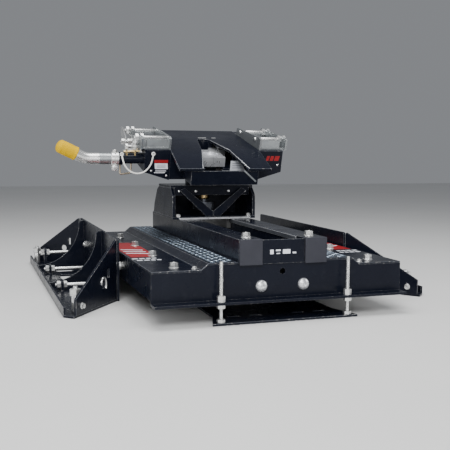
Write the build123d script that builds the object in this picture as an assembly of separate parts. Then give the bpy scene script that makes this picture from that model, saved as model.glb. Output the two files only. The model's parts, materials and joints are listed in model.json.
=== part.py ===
from build123d import *
import os
from math import cos, radians, sin, tan

# Sliding fifth wheel hitch for a pickup bed, in millimetres.
# X points right, Y points forward in the truck, Z points up. The trailer enters from -Y.
# The origin lies on the truck floor, under the middle of the platform's rear face.

# Platform
PLATFORM_HALF = 432.0
PLATFORM_LENGTH = 1165.0
DECK_TOP = 170.0
CENTRE_TOP = 190.0
STEP_FOOT_X = 274.0
STEP_TOP_X = 250.0
SHEET = 6.0
FACE_BOTTOM = 72.0
FACE_THICK = 10.0
LIP_DEPTH = 45.0
LIP_THICK = 8.0

# Rails
RAIL_INNER_X = 74.0
RAIL_OUTER_X = 150.0
RAIL_BOTTOM = 181.0
RAIL_TOP = 261.0
RAIL_LENGTH = 1140.0
RAIL_WALL = 6.0
CAP_PROUD = 12.0

# Side brackets
BRACKET_X = 452.0
BRACKET_TOP = 222.0
BRACKET_THICK = 8.0
BRACKET_REAR_Y = 430.0
BRACKET_FRONT_Y = 1315.0
BRACKET_OUT = 177.0
BRACKET_FLARE = 238.0
BRACKET_EDGE_X = 668.0
BRACKET_TIP_Z = 62.0
FLANGE_TOP = 34.0
TIE_RODS = ((665.0, 28.0), (1075.0, 27.0), (1270.0, 72.0))

# Carriage
SLIDE_GAP = 0.3
CARRIAGE_REAR_Y = 700.0
CARRIAGE_FRONT_Y = 1015.0
CARRIAGE_HALF = 176.0
TOWER_THICK = 12.0
TOWER_TOP = 396.0
PIVOT_Y = 850.0
PIVOT_Z = 460.0

# Turret and gimbal
TURRET_RADIUS = 78.0
TURRET_TOP = 408.0
EAR_IN = 62.0
EAR_OUT = 74.0
PIN_RADIUS = 14.0
PIN_GAP = 0.05
BLOCK_HALF_X = 58.0
BLOCK_HALF_Y = 70.0
BLOCK_HALF_Z = 20.0

# Head, drawn in its own frame: the kingpin's centre on the top face is its origin
HEAD_TILT = 14.0
HEAD_ORIGIN_Z = 579.0
PLATE_THICK = 10.0
PLATE_HALF = 188.0
HEAD_HALF = 290.0
PLATE_REAR = -165.0
PLATE_FRONT = 185.0
RAMP_REAR = -315.0
RAMP_DROP = 36.0
THROAT_HALF = 27.0
THROAT_KNEE = 58.0
THROAT_MOUTH = 95.0
KINGPIN_RADIUS = 25.7
SHELL_THICK = 8.0
POCKET_TOP = -76.0
JAW_TOP = -34.0
JAW_BOTTOM = -74.0
JAW_FRONT = 10.0
JAW_REAR = -150.0
JAW_PIN_X = 74.0
JAW_PIN_RADIUS = 10.0
JAW_PIN_Y = 26.0

# Capture brackets on the head
CAPTURE_INNER_X = 186.0
CAPTURE_OUTER_X = 306.0
CAPTURE_REAR = -165.0
CAPTURE_FRONT = 120.0
CAPTURE_HEIGHT = 50.0
CAPTURE_FAR_HEIGHT = 32.0
CAPTURE_THICK = 8.0

# Handle, along X on the left of the head
HANDLE_Y = -130.0
HANDLE_Z = -46.0
BAR_RADIUS = 14.0
BAR_GAP = 0.4
STUB_RADIUS = 20.0
STUB_END_X = -384.0
COLLAR_END_X = -416.0
TUBE_RADIUS = 22.0
GRIP_RADIUS = 27.0

# Lower clamp plate and the round heads on the rear face
CLAMP_X = 218.0
CLAMP_Y = -30.0
CLAMP_RADIUS = 6.0
CLAMP_TOP = 198.0
PLATE_TOP = 8.0
BUTTON_X = 73.0
BUTTON_Z = 110.0
BUTTON_RADIUS = 19.0

# Tread strips, side slots and deck bolts
TREAD_THICK = 2.0
SLOT_ROWS = (470.0, 800.0, 1120.0)
SLOT_Z = 122.0
SLOT_HALF = 9.0
SLOT_LENGTH = 44.0
RAIL_BOLT_Y = 45.0
RAIL_BOLT_X = 110.0
DECK_BOLT_X = 343.0
DECK_BOLT_ROWS = (65.0, 350.0, 635.0, 920.0)

# Floor bracket plates, bolts and windows
GUSSET_THICK = 8.0
FOOT_THICK = 8.0
CORNER_BOLTS = ((622.0, 264.0, 92.0), (640.0, 1412.0, 84.0))
BRACKET_ROD_RADIUS = 7.0
MID_ROWS = (745.0, 1205.0)
FOOT_HOLE_X = 590.0
FOOT_HOLE_ROWS = (350.0, 1360.0)
FOOT_HOLE_RADIUS = 8.5
FOOT_WINDOWS = ((520.0, 640.0), (790.0, 1020.0), (1110.0, 1180.0))
STAND_X = 612.0

# Carriage base, swivel post and shoes
BASE_Z0 = RAIL_TOP + SLIDE_GAP
BASE_Z1 = BASE_Z0 + 9.0
POST_RADIUS = 15.0
BUSH_RADIUS = 24.0
BUSH_BOTTOM = 333.0
SHOE_GAP = 0.4

# Head lugs, skirt and throat web
LUG_IN = 74.0
LUG_OUT = 86.0
SKIRT_HALF = 137.0
SKIRT_REAR = -306.0
SKIRT_FRONT = -176.0
SKIRT_BOTTOM = -104.0
WEB_TOP = -16.0
RELIEF_Y = -96.0
RELIEF_RADIUS = 36.0

# Capture bracket rods and wedge block
CAPTURE_RODS = ((-110.0, 34.0), (70.0, 22.0))
CAPTURE_ROD_RADIUS = 8.0
WEDGE_Y = -146.0

# Tether cable and its route, in the head frame
CABLE_RADIUS = 3.0
EYE_RADIUS = 6.0
CABLE_ROUTE = (
    (-378.0, -158.0, -22.0),
    (-377.0, -171.0, -40.0),
    (-368.0, -180.0, -64.0),
    (-349.0, -184.0, -84.0),
    (-322.0, -186.0, -93.0),
    (-294.0, -186.0, -87.0),
    (-273.0, -185.0, -67.0),
    (-262.0, -184.0, -40.0),
    (-259.0, -182.0, -14.0),
)

# Pull bar, bent tube, grip and wire bail
BAR_INNER_X = -108.0
COLLAR_START_X = STUB_END_X - 1.0
HANDLE_BEND = Vector(-512.0, HANDLE_Y, HANDLE_Z)
HANDLE_TIP = Vector(-616.0, HANDLE_Y, HANDLE_Z + 50)
GRIP_LENGTH = 92.0
BAIL_RADIUS = 3.5


def block(x0, x1, y0, y1, z0, z1):
    """A box between two corners."""
    centre = Location(((x0 + x1) / 2, (y0 + y1) / 2, (z0 + z1) / 2))
    return centre * Box(abs(x1 - x0), abs(y1 - y0), abs(z1 - z0))


def bar(start, end, radius):
    """A round bar from one point to another."""
    axis = Vector(*end) - Vector(*start)
    return Solid.make_cylinder(radius, axis.length, Plane(origin=start, z_dir=axis))


def plate_xz(points, y0, y1):
    """A plate cut from an outline in X and Z, from y0 to y1."""
    face = make_face(Polyline(*[(x, y0, z) for x, z in points], close=True))
    return extrude(face, amount=y1 - y0, dir=(0, 1, 0))


def plate_yz(points, x0, x1):
    """A plate cut from an outline in Y and Z, from x0 to x1."""
    face = make_face(Polyline(*[(x0, y, z) for y, z in points], close=True))
    return extrude(face, amount=x1 - x0, dir=(1, 0, 0))


def plate_xy(points, z0, z1):
    """A plate cut from an outline in X and Y, from z0 to z1."""
    face = make_face(Polyline(*[(x, y, z0) for x, y in points], close=True))
    return extrude(face, amount=z1 - z0, dir=(0, 0, 1))


def mirrored(shape):
    """The same shape on the other side of the truck's centre line."""
    return mirror(shape, about=Plane.YZ)


def both_sides(shapes):
    """A list of shapes with their mirror images."""
    return [*shapes, *[mirrored(shape) for shape in shapes]]


def hexagon(start, end, across):
    """A hexagonal prism between two points, across its flats."""
    axis = Vector(*end) - Vector(*start)
    base = Plane(origin=start, z_dir=axis)
    return extrude(base * RegularPolygon(across / 2, 6, major_radius=False), amount=axis.length)


def ring(start, end, outer, inner):
    """A round tube between two points."""
    return bar(start, end, outer) - bar(start, end, inner)


def nut(start, end, across, hole):
    """A hexagonal nut between two points, with its hole."""
    return hexagon(start, end, across) - bar(start, end, hole)


def hex_bolt(x, y, z, across, height):
    """A hex head with its washer, standing on a top face at z."""
    washer = bar((x, y, z), (x, y, z + 2.5), across * 0.68)
    return washer + hexagon((x, y, z + 2.5), (x, y, z + 2.5 + height), across)


def on_head(shape):
    """A shape drawn in the head's frame, placed on the truck with the head tilted."""
    return Location((0, PIVOT_Y, HEAD_ORIGIN_Z)) * (Rotation(HEAD_TILT, 0, 0) * shape)


def save(node, shapes):
    """One STEP file for one node, which may be a group of separate solids."""
    solids = []
    for shape in shapes if isinstance(shapes, (list, tuple)) else [shapes]:
        solids.extend(shape.solids())
    export_step(Compound(children=solids) if len(solids) > 1 else solids[0], f"parts/{node}.step")


# ---------------------------------------------------------------- platform


def crossmember(y0, lip):
    """A face plate with the raised middle, a notch for the rails and a foot lip."""
    outline = [
        (-PLATFORM_HALF, FACE_BOTTOM),
        (PLATFORM_HALF, FACE_BOTTOM),
        (PLATFORM_HALF, DECK_TOP - SHEET),
        (STEP_FOOT_X + 2, DECK_TOP - SHEET),
        (STEP_TOP_X + 2, CENTRE_TOP - SHEET),
        (RAIL_OUTER_X + 1, CENTRE_TOP - SHEET),
        (RAIL_OUTER_X + 1, RAIL_BOTTOM),
        (-RAIL_OUTER_X - 1, RAIL_BOTTOM),
        (-RAIL_OUTER_X - 1, CENTRE_TOP - SHEET),
        (-STEP_TOP_X - 2, CENTRE_TOP - SHEET),
        (-STEP_FOOT_X - 2, DECK_TOP - SHEET),
        (-PLATFORM_HALF, DECK_TOP - SHEET),
    ]
    face = plate_xz(outline, y0, y0 + FACE_THICK)
    if lip < 0:
        span = (y0 + lip, y0 + FACE_THICK)
    else:
        span = (y0, y0 + lip)
    return face + block(-PLATFORM_HALF, PLATFORM_HALF, *span, FACE_BOTTOM - LIP_THICK, FACE_BOTTOM)


def rear_crossmember():
    """The cross-member at the tailgate end, with the clamp rods' holes and a drain hole."""
    shape = crossmember(0.0, -LIP_DEPTH)
    for x in (-CLAMP_X, CLAMP_X):
        shape -= bar((x, CLAMP_Y, FACE_BOTTOM - 20), (x, CLAMP_Y, FACE_BOTTOM + 20), CLAMP_RADIUS + 0.5)
    for x in (-BUTTON_X, BUTTON_X):
        shape -= bar((x, -5, BUTTON_Z), (x, FACE_THICK + 5, BUTTON_Z), 9.0)
    shape -= bar((0, -5, 155), (0, FACE_THICK + 5, 155), 10.0)
    return shape


def front_crossmember():
    """The cross-member at the cab end."""
    return crossmember(PLATFORM_LENGTH - FACE_THICK, 35.0)


def deck_panel():
    """The right deck: one formed sheet, low outside and stepped up beside the rail."""
    outline = [
        (PLATFORM_HALF, DECK_TOP),
        (STEP_FOOT_X, DECK_TOP),
        (STEP_TOP_X, CENTRE_TOP),
        (RAIL_OUTER_X + 1, CENTRE_TOP),
        (RAIL_OUTER_X + 1, CENTRE_TOP - SHEET),
        (STEP_TOP_X + 2, CENTRE_TOP - SHEET),
        (STEP_FOOT_X + 2, DECK_TOP - SHEET),
        (PLATFORM_HALF, DECK_TOP - SHEET),
    ]
    return plate_xz(outline, 0, PLATFORM_LENGTH)


def tread_strip():
    """The right bright tread strip on the raised deck."""
    return block(
        RAIL_OUTER_X + 8, STEP_TOP_X - 4, 4, PLATFORM_LENGTH - 4, CENTRE_TOP, CENTRE_TOP + TREAD_THICK
    )


def slot_cutter(y, x0, x1):
    """An upright slot through a plate that faces X."""
    cut = block(x0, x1, y - SLOT_HALF, y + SLOT_HALF, SLOT_Z - SLOT_LENGTH / 2, SLOT_Z + SLOT_LENGTH / 2)
    for end in (-SLOT_LENGTH / 2, SLOT_LENGTH / 2):
        cut += bar((x0, y, SLOT_Z + end), (x1, y, SLOT_Z + end), SLOT_HALF)
    return cut


def end_plate():
    """The right end of the platform, with the slots that its bracket is bolted to."""
    y0, y1 = FACE_THICK, PLATFORM_LENGTH - FACE_THICK
    plate = block(PLATFORM_HALF - 8, PLATFORM_HALF, y0, y1, FACE_BOTTOM + 8, DECK_TOP - SHEET)
    for y in SLOT_ROWS:
        plate -= slot_cutter(y, PLATFORM_HALF - 20, PLATFORM_HALF + 20)
    return plate


def rail():
    """The right rail: a square tube that the carriage slides on."""
    tube = block(RAIL_INNER_X, RAIL_OUTER_X, 0, RAIL_LENGTH, RAIL_BOTTOM, RAIL_TOP)
    hollow = block(
        RAIL_INNER_X + RAIL_WALL,
        RAIL_OUTER_X - RAIL_WALL,
        -10,
        RAIL_LENGTH + 10,
        RAIL_BOTTOM + RAIL_WALL,
        RAIL_TOP - RAIL_WALL,
    )
    return tube - hollow


def rail_cap():
    """The moulded cap on the tailgate end of the right rail."""
    plate = block(RAIL_INNER_X, RAIL_OUTER_X, -CAP_PROUD, 0, RAIL_BOTTOM - 2, RAIL_TOP)
    plug = block(
        RAIL_INNER_X + RAIL_WALL,
        RAIL_OUTER_X - RAIL_WALL,
        0,
        24,
        RAIL_BOTTOM + RAIL_WALL,
        RAIL_TOP - RAIL_WALL,
    )
    plate = fillet(plate.edges().group_by(Axis.Y)[0], 2.0)
    return plate + plug


def channel_floor():
    """The folded floor between the rails."""
    return block(-RAIL_INNER_X, RAIL_INNER_X, 12, RAIL_LENGTH, RAIL_BOTTOM, RAIL_BOTTOM + 4)


def channel_strip():
    """The right bright guide strip on the rail's inner face."""
    return block(RAIL_INNER_X - 5, RAIL_INNER_X, 60, RAIL_LENGTH - 20, RAIL_TOP - 16, RAIL_TOP - 2)


def channel_end_plate():
    """The plate that closes the channel between the rail caps."""
    return block(-RAIL_INNER_X + 1, RAIL_INNER_X - 1, -4, 4, RAIL_BOTTOM, RAIL_TOP - 3)


def lower_plate():
    """The clamp plate under the platform, with slots, and two hangers welded to it."""
    outline = [(-250, -45), (250, -45), (214, 70), (214, 240), (-214, 240), (-214, 70)]
    plate = plate_xy(outline, 0, PLATE_TOP)
    for x in (-150, -76, 76, 150):
        plate -= block(x - 20, x + 20, 30, 46, -5, 20)
    for x in (-180, 180):
        plate += block(x - 30, x + 30, 206, 214, PLATE_TOP, DECK_TOP - SHEET)
    return plate


def clamp_rod():
    """The right threaded rod that ties the clamp plate to the platform's lip."""
    rod = bar((CLAMP_X, CLAMP_Y, PLATE_TOP), (CLAMP_X, CLAMP_Y, CLAMP_TOP), CLAMP_RADIUS)
    return chamfer(rod.edges().group_by(Axis.Z)[-1], 1.5)


def clamp_nuts():
    """The nuts above and below the lip, on the right rod."""
    lip_bottom = FACE_BOTTOM - LIP_THICK
    return [
        nut((CLAMP_X, CLAMP_Y, FACE_BOTTOM), (CLAMP_X, CLAMP_Y, FACE_BOTTOM + 20), 23, CLAMP_RADIUS),
        nut((CLAMP_X, CLAMP_Y, lip_bottom - 12), (CLAMP_X, CLAMP_Y, lip_bottom), 23, CLAMP_RADIUS),
        nut((CLAMP_X, CLAMP_Y, PLATE_TOP), (CLAMP_X, CLAMP_Y, PLATE_TOP + 11), 23, CLAMP_RADIUS),
    ]


def button_bolt():
    """The right round-headed bolt on the rear face, with its nut inside."""
    shank = bar((BUTTON_X, -1, BUTTON_Z), (BUTTON_X, 34, BUTTON_Z), 8.9)
    dome = Location((BUTTON_X, 0, BUTTON_Z)) * (Rotation(90, 0, 0) * Sphere(BUTTON_RADIUS + 3))
    keep = block(BUTTON_X - 30, BUTTON_X + 30, -12, 0, BUTTON_Z - 30, BUTTON_Z + 30)
    head = (Location((0, 10, 0)) * dome) & keep
    return head + shank + hexagon((BUTTON_X, FACE_THICK, BUTTON_Z), (BUTTON_X, FACE_THICK + 14, BUTTON_Z), 28)


def deck_bolts():
    """Hex heads on the decks and on the rails, with the two low heads by the step."""
    tops = [(DECK_BOLT_X, y, DECK_TOP, 24, 15) for y in DECK_BOLT_ROWS]
    tops.append((RAIL_BOLT_X, RAIL_BOLT_Y, RAIL_TOP, 24, 14))
    tops.append((STEP_FOOT_X + 14, 24, DECK_TOP, 14, 6))
    return both_sides([hex_bolt(*top) for top in tops])


def joint_bolts():
    """The bolts that hold the right bracket to the platform's end, with their spacers."""
    bolts = []
    for y in SLOT_ROWS:
        inside = PLATFORM_HALF - 8
        face = BRACKET_X
        shank = bar((inside - 20, y, SLOT_Z), (face + 16, y, SLOT_Z), 7.9)
        spacer = ring((PLATFORM_HALF, y, SLOT_Z), (BRACKET_X - BRACKET_THICK, y, SLOT_Z), 16, 7.9)
        head = hexagon((face, y, SLOT_Z), (face + 11, y, SLOT_Z), 24)
        back = hexagon((inside - 14, y, SLOT_Z), (inside, y, SLOT_Z), 24)
        bolts.append(shank + spacer + head + back)
    return bolts


# ---------------------------------------------------------------- side brackets


def bracket_inner_plate():
    """The upright plate of the right bracket, beside the platform's end."""
    plate = block(BRACKET_X - BRACKET_THICK, BRACKET_X, BRACKET_REAR_Y, BRACKET_FRONT_Y, 0, BRACKET_TOP)
    plate = fillet(plate.edges().filter_by(Axis.X).group_by(Axis.Z)[-1], 10.0)
    for y in SLOT_ROWS:
        plate -= bar((BRACKET_X - 20, y, SLOT_Z), (BRACKET_X + 20, y, SLOT_Z), 7.9)
    for y, z in TIE_RODS:
        plate -= bar((BRACKET_X - 20, y, z), (BRACKET_X + 20, y, z), BRACKET_ROD_RADIUS)
    return plate


def bracket_outline():
    """The right bracket's foot in plan, from its inner edge to its outer edge."""
    return [
        (BRACKET_X, BRACKET_REAR_Y),
        (BRACKET_EDGE_X - 30, BRACKET_REAR_Y - BRACKET_FLARE - 6),
        (BRACKET_EDGE_X, BRACKET_REAR_Y - BRACKET_FLARE + 24),
        (BRACKET_EDGE_X, BRACKET_FRONT_Y + 150),
        (BRACKET_EDGE_X - 30, BRACKET_FRONT_Y + 180),
        (BRACKET_X, BRACKET_FRONT_Y),
    ]


def bracket_stand(y, z):
    """The upright tab that holds the outer end of a tie rod."""
    tab = block(STAND_X, STAND_X + 10, y - 22, y + 22, FOOT_THICK, z + 20)
    tab = fillet(tab.edges().filter_by(Axis.X).group_by(Axis.Z)[-1], 14.0)
    return tab - bar((STAND_X - 20, y, z), (STAND_X + 30, y, z), BRACKET_ROD_RADIUS)


def bracket_base():
    """The right bracket's foot, with its turned-up outer flange, rod stands and floor bolt holes."""
    foot = plate_xy(bracket_outline(), 0, FOOT_THICK)
    rear = BRACKET_REAR_Y - BRACKET_FLARE + 24
    front = BRACKET_FRONT_Y + 150
    foot += block(BRACKET_EDGE_X - 8, BRACKET_EDGE_X, rear, front, FOOT_THICK, FLANGE_TOP)
    for y, z in TIE_RODS:
        foot += bracket_stand(y, z)
    for y0, y1 in FOOT_WINDOWS:
        window = block(512, 586, y0, y1, -5, 20)
        foot -= fillet(window.edges().filter_by(Axis.Z), 12.0)
    for y in FOOT_HOLE_ROWS:
        foot -= bar((FOOT_HOLE_X, y, -5), (FOOT_HOLE_X, y, 20), FOOT_HOLE_RADIUS)
    return foot


def end_gusset(y_inner, y_outer):
    """An upright gusset that runs outwards from one end of the inner plate."""
    run = Vector(BRACKET_OUT, y_outer - y_inner, 0)
    length = run.length
    points = [(0, FOOT_THICK), (length, FOOT_THICK), (length, BRACKET_TIP_Z), (6, BRACKET_TOP - 2), (0, BRACKET_TOP - 2)]
    face = make_face(Polyline(*[(s, 0, z) for s, z in points], close=True))
    plate = extrude(face, amount=GUSSET_THICK / 2, dir=(0, 1, 0), both=True)
    plate -= bar((length * 0.36, -20, 78), (length * 0.36, 20, 78), 14)
    plate -= block(length * 0.2, length * 0.25, -20, 20, 96, 126)
    angle = degrees_of(run)
    return Location((BRACKET_X + 4, y_inner, 0)) * (Rotation(0, 0, angle) * plate)


def degrees_of(run):
    """The turn about Z that points +X along a flat vector."""
    turn = Vector(1, 0, 0).get_angle(run)
    return turn if run.Y > 0 else -turn


def mid_gusset(y):
    """A gusset with a hollow curved edge, from the inner plate down to the foot."""
    reach = 204.0
    top = BRACKET_TOP - 2
    foot = Polyline((14, 0, top), (0, 0, top), (0, 0, FOOT_THICK), (reach, 0, FOOT_THICK), (reach, 0, 24))
    hollow = ThreePointArc((reach, 0, 24), (68, 0, 88), (22, 0, top - 8))
    line = [*foot.edges(), hollow, Line((22, 0, top - 8), (14, 0, top))]
    plate = extrude(make_face(Wire(line)), amount=GUSSET_THICK / 2, dir=(0, 1, 0), both=True)
    return Location((BRACKET_X, y, 0)) * plate


def bracket_gussets():
    """The right bracket's gussets: two flared ones at its ends and two hollow ones between."""
    rear = end_gusset(BRACKET_REAR_Y + 4, BRACKET_REAR_Y - BRACKET_FLARE + 4)
    front = end_gusset(BRACKET_FRONT_Y - 4, BRACKET_FRONT_Y + 148)
    return [rear, front, *[mid_gusset(y) for y in MID_ROWS]]


def bracket_rod(y, z):
    """A tie rod from the inner plate out to its stand on the foot."""
    return bar((BRACKET_X - 12, y, z), (STAND_X + 30, y, z), BRACKET_ROD_RADIUS)


def corner_bolts():
    """The tall bolts through the right foot's two outer corners, with a spacer and a nut each."""
    bolts = []
    for x, y, top in CORNER_BOLTS:
        spacer = ring((x, y, FOOT_THICK), (x, y, top - 30), 13, 8)
        cap = nut((x, y, top - 30), (x, y, top - 8), 34, 8)
        bolts.append(bar((x, y, FOOT_THICK), (x, y, top), 8) + spacer + cap)
    return bolts


def bracket_nuts():
    """The nuts on the right bracket's tie rods."""
    nuts = []
    for y, z in TIE_RODS:
        for x0, x1 in ((BRACKET_X, BRACKET_X + 14), (STAND_X - 14, STAND_X), (STAND_X + 10, STAND_X + 24)):
            nuts.append(nut((x0, y, z), (x1, y, z), 26, BRACKET_ROD_RADIUS))
    return nuts


# ---------------------------------------------------------------- carriage


def carriage_base():
    """The carriage's sole plate, which rides on the rails."""
    plate = block(
        -CARRIAGE_HALF, CARRIAGE_HALF, CARRIAGE_REAR_Y, CARRIAGE_FRONT_Y, BASE_Z0, BASE_Z1
    )
    return plate - bar((0, PIVOT_Y, BASE_Z0 - 5), (0, PIVOT_Y, BASE_Z1 + 5), 52)


def tower_side_plate():
    """The right side of the tower, sloped at its front edge."""
    outline = [
        (CARRIAGE_REAR_Y, BASE_Z1),
        (CARRIAGE_FRONT_Y, BASE_Z1),
        (CARRIAGE_FRONT_Y - 14, BASE_Z1 + 40),
        (CARRIAGE_FRONT_Y - 62, TOWER_TOP - 24),
        (CARRIAGE_FRONT_Y - 92, TOWER_TOP - 10),
        (CARRIAGE_REAR_Y + 34, TOWER_TOP - 10),
        (CARRIAGE_REAR_Y, TOWER_TOP - 40),
    ]
    return plate_yz(outline, CARRIAGE_HALF - TOWER_THICK, CARRIAGE_HALF)


def tower_web():
    """The web between the tower's sides, behind the recess."""
    inner = CARRIAGE_HALF - TOWER_THICK
    y0 = PIVOT_Y + 62
    return block(-inner, inner, y0, y0 + 10, BASE_Z1, TOWER_TOP - 10)


def tower_top():
    """The plate that the turret turns on, with the apron over the recess."""
    y0, y1 = CARRIAGE_REAR_Y + 34, CARRIAGE_FRONT_Y - 92
    plate = block(-CARRIAGE_HALF, CARRIAGE_HALF, y0, y1, TOWER_TOP - 10, TOWER_TOP)
    apron = block(-160, 160, y0, y0 + 8, TOWER_TOP - 40, TOWER_TOP - 10)
    return plate + apron - bar((0, PIVOT_Y, TOWER_TOP - 30), (0, PIVOT_Y, TOWER_TOP + 10), BUSH_RADIUS)


def pivot_bush():
    """The bronze bush that the swivel post turns in, rounded at its lower end."""
    sleeve = bar((0, PIVOT_Y, BUSH_BOTTOM), (0, PIVOT_Y, TOWER_TOP), BUSH_RADIUS)
    sleeve = fillet(sleeve.edges().group_by(Axis.Z)[0], 7.0)
    bore = bar((0, PIVOT_Y, BUSH_BOTTOM - 5), (0, PIVOT_Y, TOWER_TOP + 5), POST_RADIUS + PIN_GAP)
    return sleeve - bore


def wear_bar():
    """The bright bar across the rails at the carriage's rear edge."""
    y1 = CARRIAGE_REAR_Y
    return block(-RAIL_OUTER_X, RAIL_OUTER_X, y1 - 14, y1, BASE_Z0, BASE_Z0 + 7)


def v_brace():
    """The right leg of the V brace in the recess."""
    y0 = CARRIAGE_REAR_Y + 16
    low = BASE_Z1
    outline = [(1, low), (30, low), (142, low + 106), (120, low + 116), (1, low + 22)]
    return plate_xz(outline, y0, y0 + 8)


def slide_shoe():
    """The right shoe, which hangs from the sole plate and hooks under the guide strip."""
    x1 = RAIL_INNER_X - 5 - SHOE_GAP
    drop = block(x1 - 12, x1, CARRIAGE_REAR_Y + 10, CARRIAGE_FRONT_Y - 10, RAIL_TOP - 40, BASE_Z0)
    x2 = RAIL_INNER_X - SHOE_GAP
    hook = block(x1 - 12, x2, CARRIAGE_REAR_Y + 10, CARRIAGE_FRONT_Y - 10, RAIL_TOP - 40, RAIL_TOP - 17)
    return drop + hook


def tower_bolts():
    """The small round bolt heads on the apron and the tower's rear edges."""
    heads = []
    y, z = CARRIAGE_REAR_Y + 34, TOWER_TOP - 24
    for x in (-140, -70, 70, 140):
        heads.append(bar((x, y - 6, z), (x, y, z), 6))
    for x in (-150, 150):
        heads.append(hex_bolt(x, CARRIAGE_REAR_Y + 12, BASE_Z1, 16, 9))
    return heads


# ---------------------------------------------------------------- turret and gimbal


def turret_yoke():
    """The turning plate with the two ears that carry the gimbal."""
    disc = bar((0, PIVOT_Y, TOWER_TOP + 0.3), (0, PIVOT_Y, TURRET_TOP), TURRET_RADIUS)
    for side in (-1, 1):
        ear = block(side * EAR_IN, side * EAR_OUT, PIVOT_Y - 26, PIVOT_Y + 26, TURRET_TOP - 4, PIVOT_Z)
        ear += bar((side * EAR_IN, PIVOT_Y, PIVOT_Z), (side * EAR_OUT, PIVOT_Y, PIVOT_Z), 26)
        disc += ear
    return disc - bar((-90, PIVOT_Y, PIVOT_Z), (90, PIVOT_Y, PIVOT_Z), PIN_RADIUS + PIN_GAP)


def swivel_post():
    """The post under the turret, with the cam drum that steers the slide."""
    post = bar((0, PIVOT_Y, BASE_Z1 + 20), (0, PIVOT_Y, TOWER_TOP + 0.3), POST_RADIUS)
    drum = bar((0, PIVOT_Y, BASE_Z1 + 20), (0, PIVOT_Y, BASE_Z1 + 52), 46)
    lobe = block(-18, 18, PIVOT_Y - 54, PIVOT_Y, BASE_Z1 + 26, BASE_Z1 + 46)
    return post + drum + lobe


def gimbal_block():
    """The cross block between the turret's ears and the head's lugs."""
    body = block(
        -BLOCK_HALF_X,
        BLOCK_HALF_X,
        PIVOT_Y - BLOCK_HALF_Y,
        PIVOT_Y + BLOCK_HALF_Y,
        PIVOT_Z - BLOCK_HALF_Z,
        PIVOT_Z + BLOCK_HALF_Z,
    )
    for side in (-1, 1):
        body -= bar((side * 24, PIVOT_Y, PIVOT_Z), (side * 80, PIVOT_Y, PIVOT_Z), PIN_RADIUS)
        y0 = PIVOT_Y + side * 34
        body -= bar((0, y0, PIVOT_Z), (0, PIVOT_Y + side * 90, PIVOT_Z), PIN_RADIUS)
    body = fillet(body.edges().filter_by(Axis.Z), 8.0)
    return gimbal_tilt(body)


def gimbal_tilt(shape):
    """The gimbal leans with the head about the cross pins."""
    pivot = Location((0, PIVOT_Y, PIVOT_Z))
    return pivot * (Rotation(HEAD_TILT, 0, 0) * (pivot.inverse() * shape))


def gimbal_pins():
    """Two cross pins along X and two along Y, pressed into the block."""
    pins = []
    for side in (-1, 1):
        pins.append(bar((side * 24, PIVOT_Y, PIVOT_Z), (side * (EAR_OUT + 4), PIVOT_Y, PIVOT_Z), PIN_RADIUS))
        pins.append(
            bar((0, PIVOT_Y + side * 34, PIVOT_Z), (0, PIVOT_Y + side * (LUG_OUT + 4), PIVOT_Z), PIN_RADIUS)
        )
    return [gimbal_tilt(pin) for pin in pins]


# ---------------------------------------------------------------- head


def pivot_in_head():
    """The gimbal's centre in the head's frame."""
    drop = PIVOT_Z - HEAD_ORIGIN_Z
    return drop * sin(radians(HEAD_TILT)), drop * cos(radians(HEAD_TILT))


def head_lugs():
    """The two lugs under the pocket plate that take the fore-and-aft pins."""
    y_pin, z_pin = pivot_in_head()
    lugs = []
    for side in (-1, 1):
        y0 = y_pin + side * LUG_IN
        y1 = y_pin + side * LUG_OUT
        lug = block(-26, 26, y0, y1, z_pin, POCKET_TOP - 8)
        lug += bar((0, y0, z_pin), (0, y1, z_pin), 22)
        lug -= bar((0, y0 - 20, z_pin), (0, y1 + 20, z_pin), PIN_RADIUS + PIN_GAP)
        lugs.append(on_head(lug))
    return lugs


def throat_outline():
    """The open slot for the kingpin, from its round seat out to the flared mouth."""
    seat = THROAT_HALF
    knee = THROAT_KNEE
    left = Polyline((-seat, 0, 0), (-knee, PLATE_REAR, 0), (-THROAT_MOUTH, RAMP_REAR - 20, 0))
    mouth = Line((-THROAT_MOUTH, RAMP_REAR - 20, 0), (THROAT_MOUTH, RAMP_REAR - 20, 0))
    right = Polyline((THROAT_MOUTH, RAMP_REAR - 20, 0), (knee, PLATE_REAR, 0), (seat, 0, 0))
    arc = ThreePointArc((seat, 0, 0), (0, seat, 0), (-seat, 0, 0))
    return make_face(Wire([*left.edges(), *mouth.edges(), *right.edges(), *arc.edges()]))


def skid_plate():
    """The top plate with its two ramps, bent down at the rear, and the kingpin's throat."""
    profile = [
        (PLATE_FRONT, 0),
        (PLATE_REAR, 0),
        (RAMP_REAR, -RAMP_DROP),
        (RAMP_REAR + 2, -RAMP_DROP - PLATE_THICK),
        (PLATE_REAR, -PLATE_THICK),
        (PLATE_FRONT, -PLATE_THICK),
    ]
    plate = plate_yz(profile, -PLATE_HALF, PLATE_HALF)
    throat = extrude(throat_outline(), amount=60, dir=(0, 0, 1), both=True)
    return on_head(plate - throat)


def shell_profile():
    """The right shell's face outline in X and Z."""
    return [(PLATE_HALF, 0), (HEAD_HALF, 0), (HEAD_HALF, -90), (PLATE_HALF, -122)]


def head_shell():
    """The right side box of the head: closed faces outside, open underneath."""
    outer = plate_xz(shell_profile(), PLATE_REAR - 8, PLATE_FRONT - 10)
    inner = [
        (PLATE_HALF + SHELL_THICK, -SHELL_THICK),
        (HEAD_HALF - SHELL_THICK, -SHELL_THICK),
        (HEAD_HALF - SHELL_THICK, -200),
        (PLATE_HALF + SHELL_THICK, -200),
    ]
    hollow = plate_xz(inner, PLATE_REAR, PLATE_FRONT - 18)
    return outer - hollow


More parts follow.
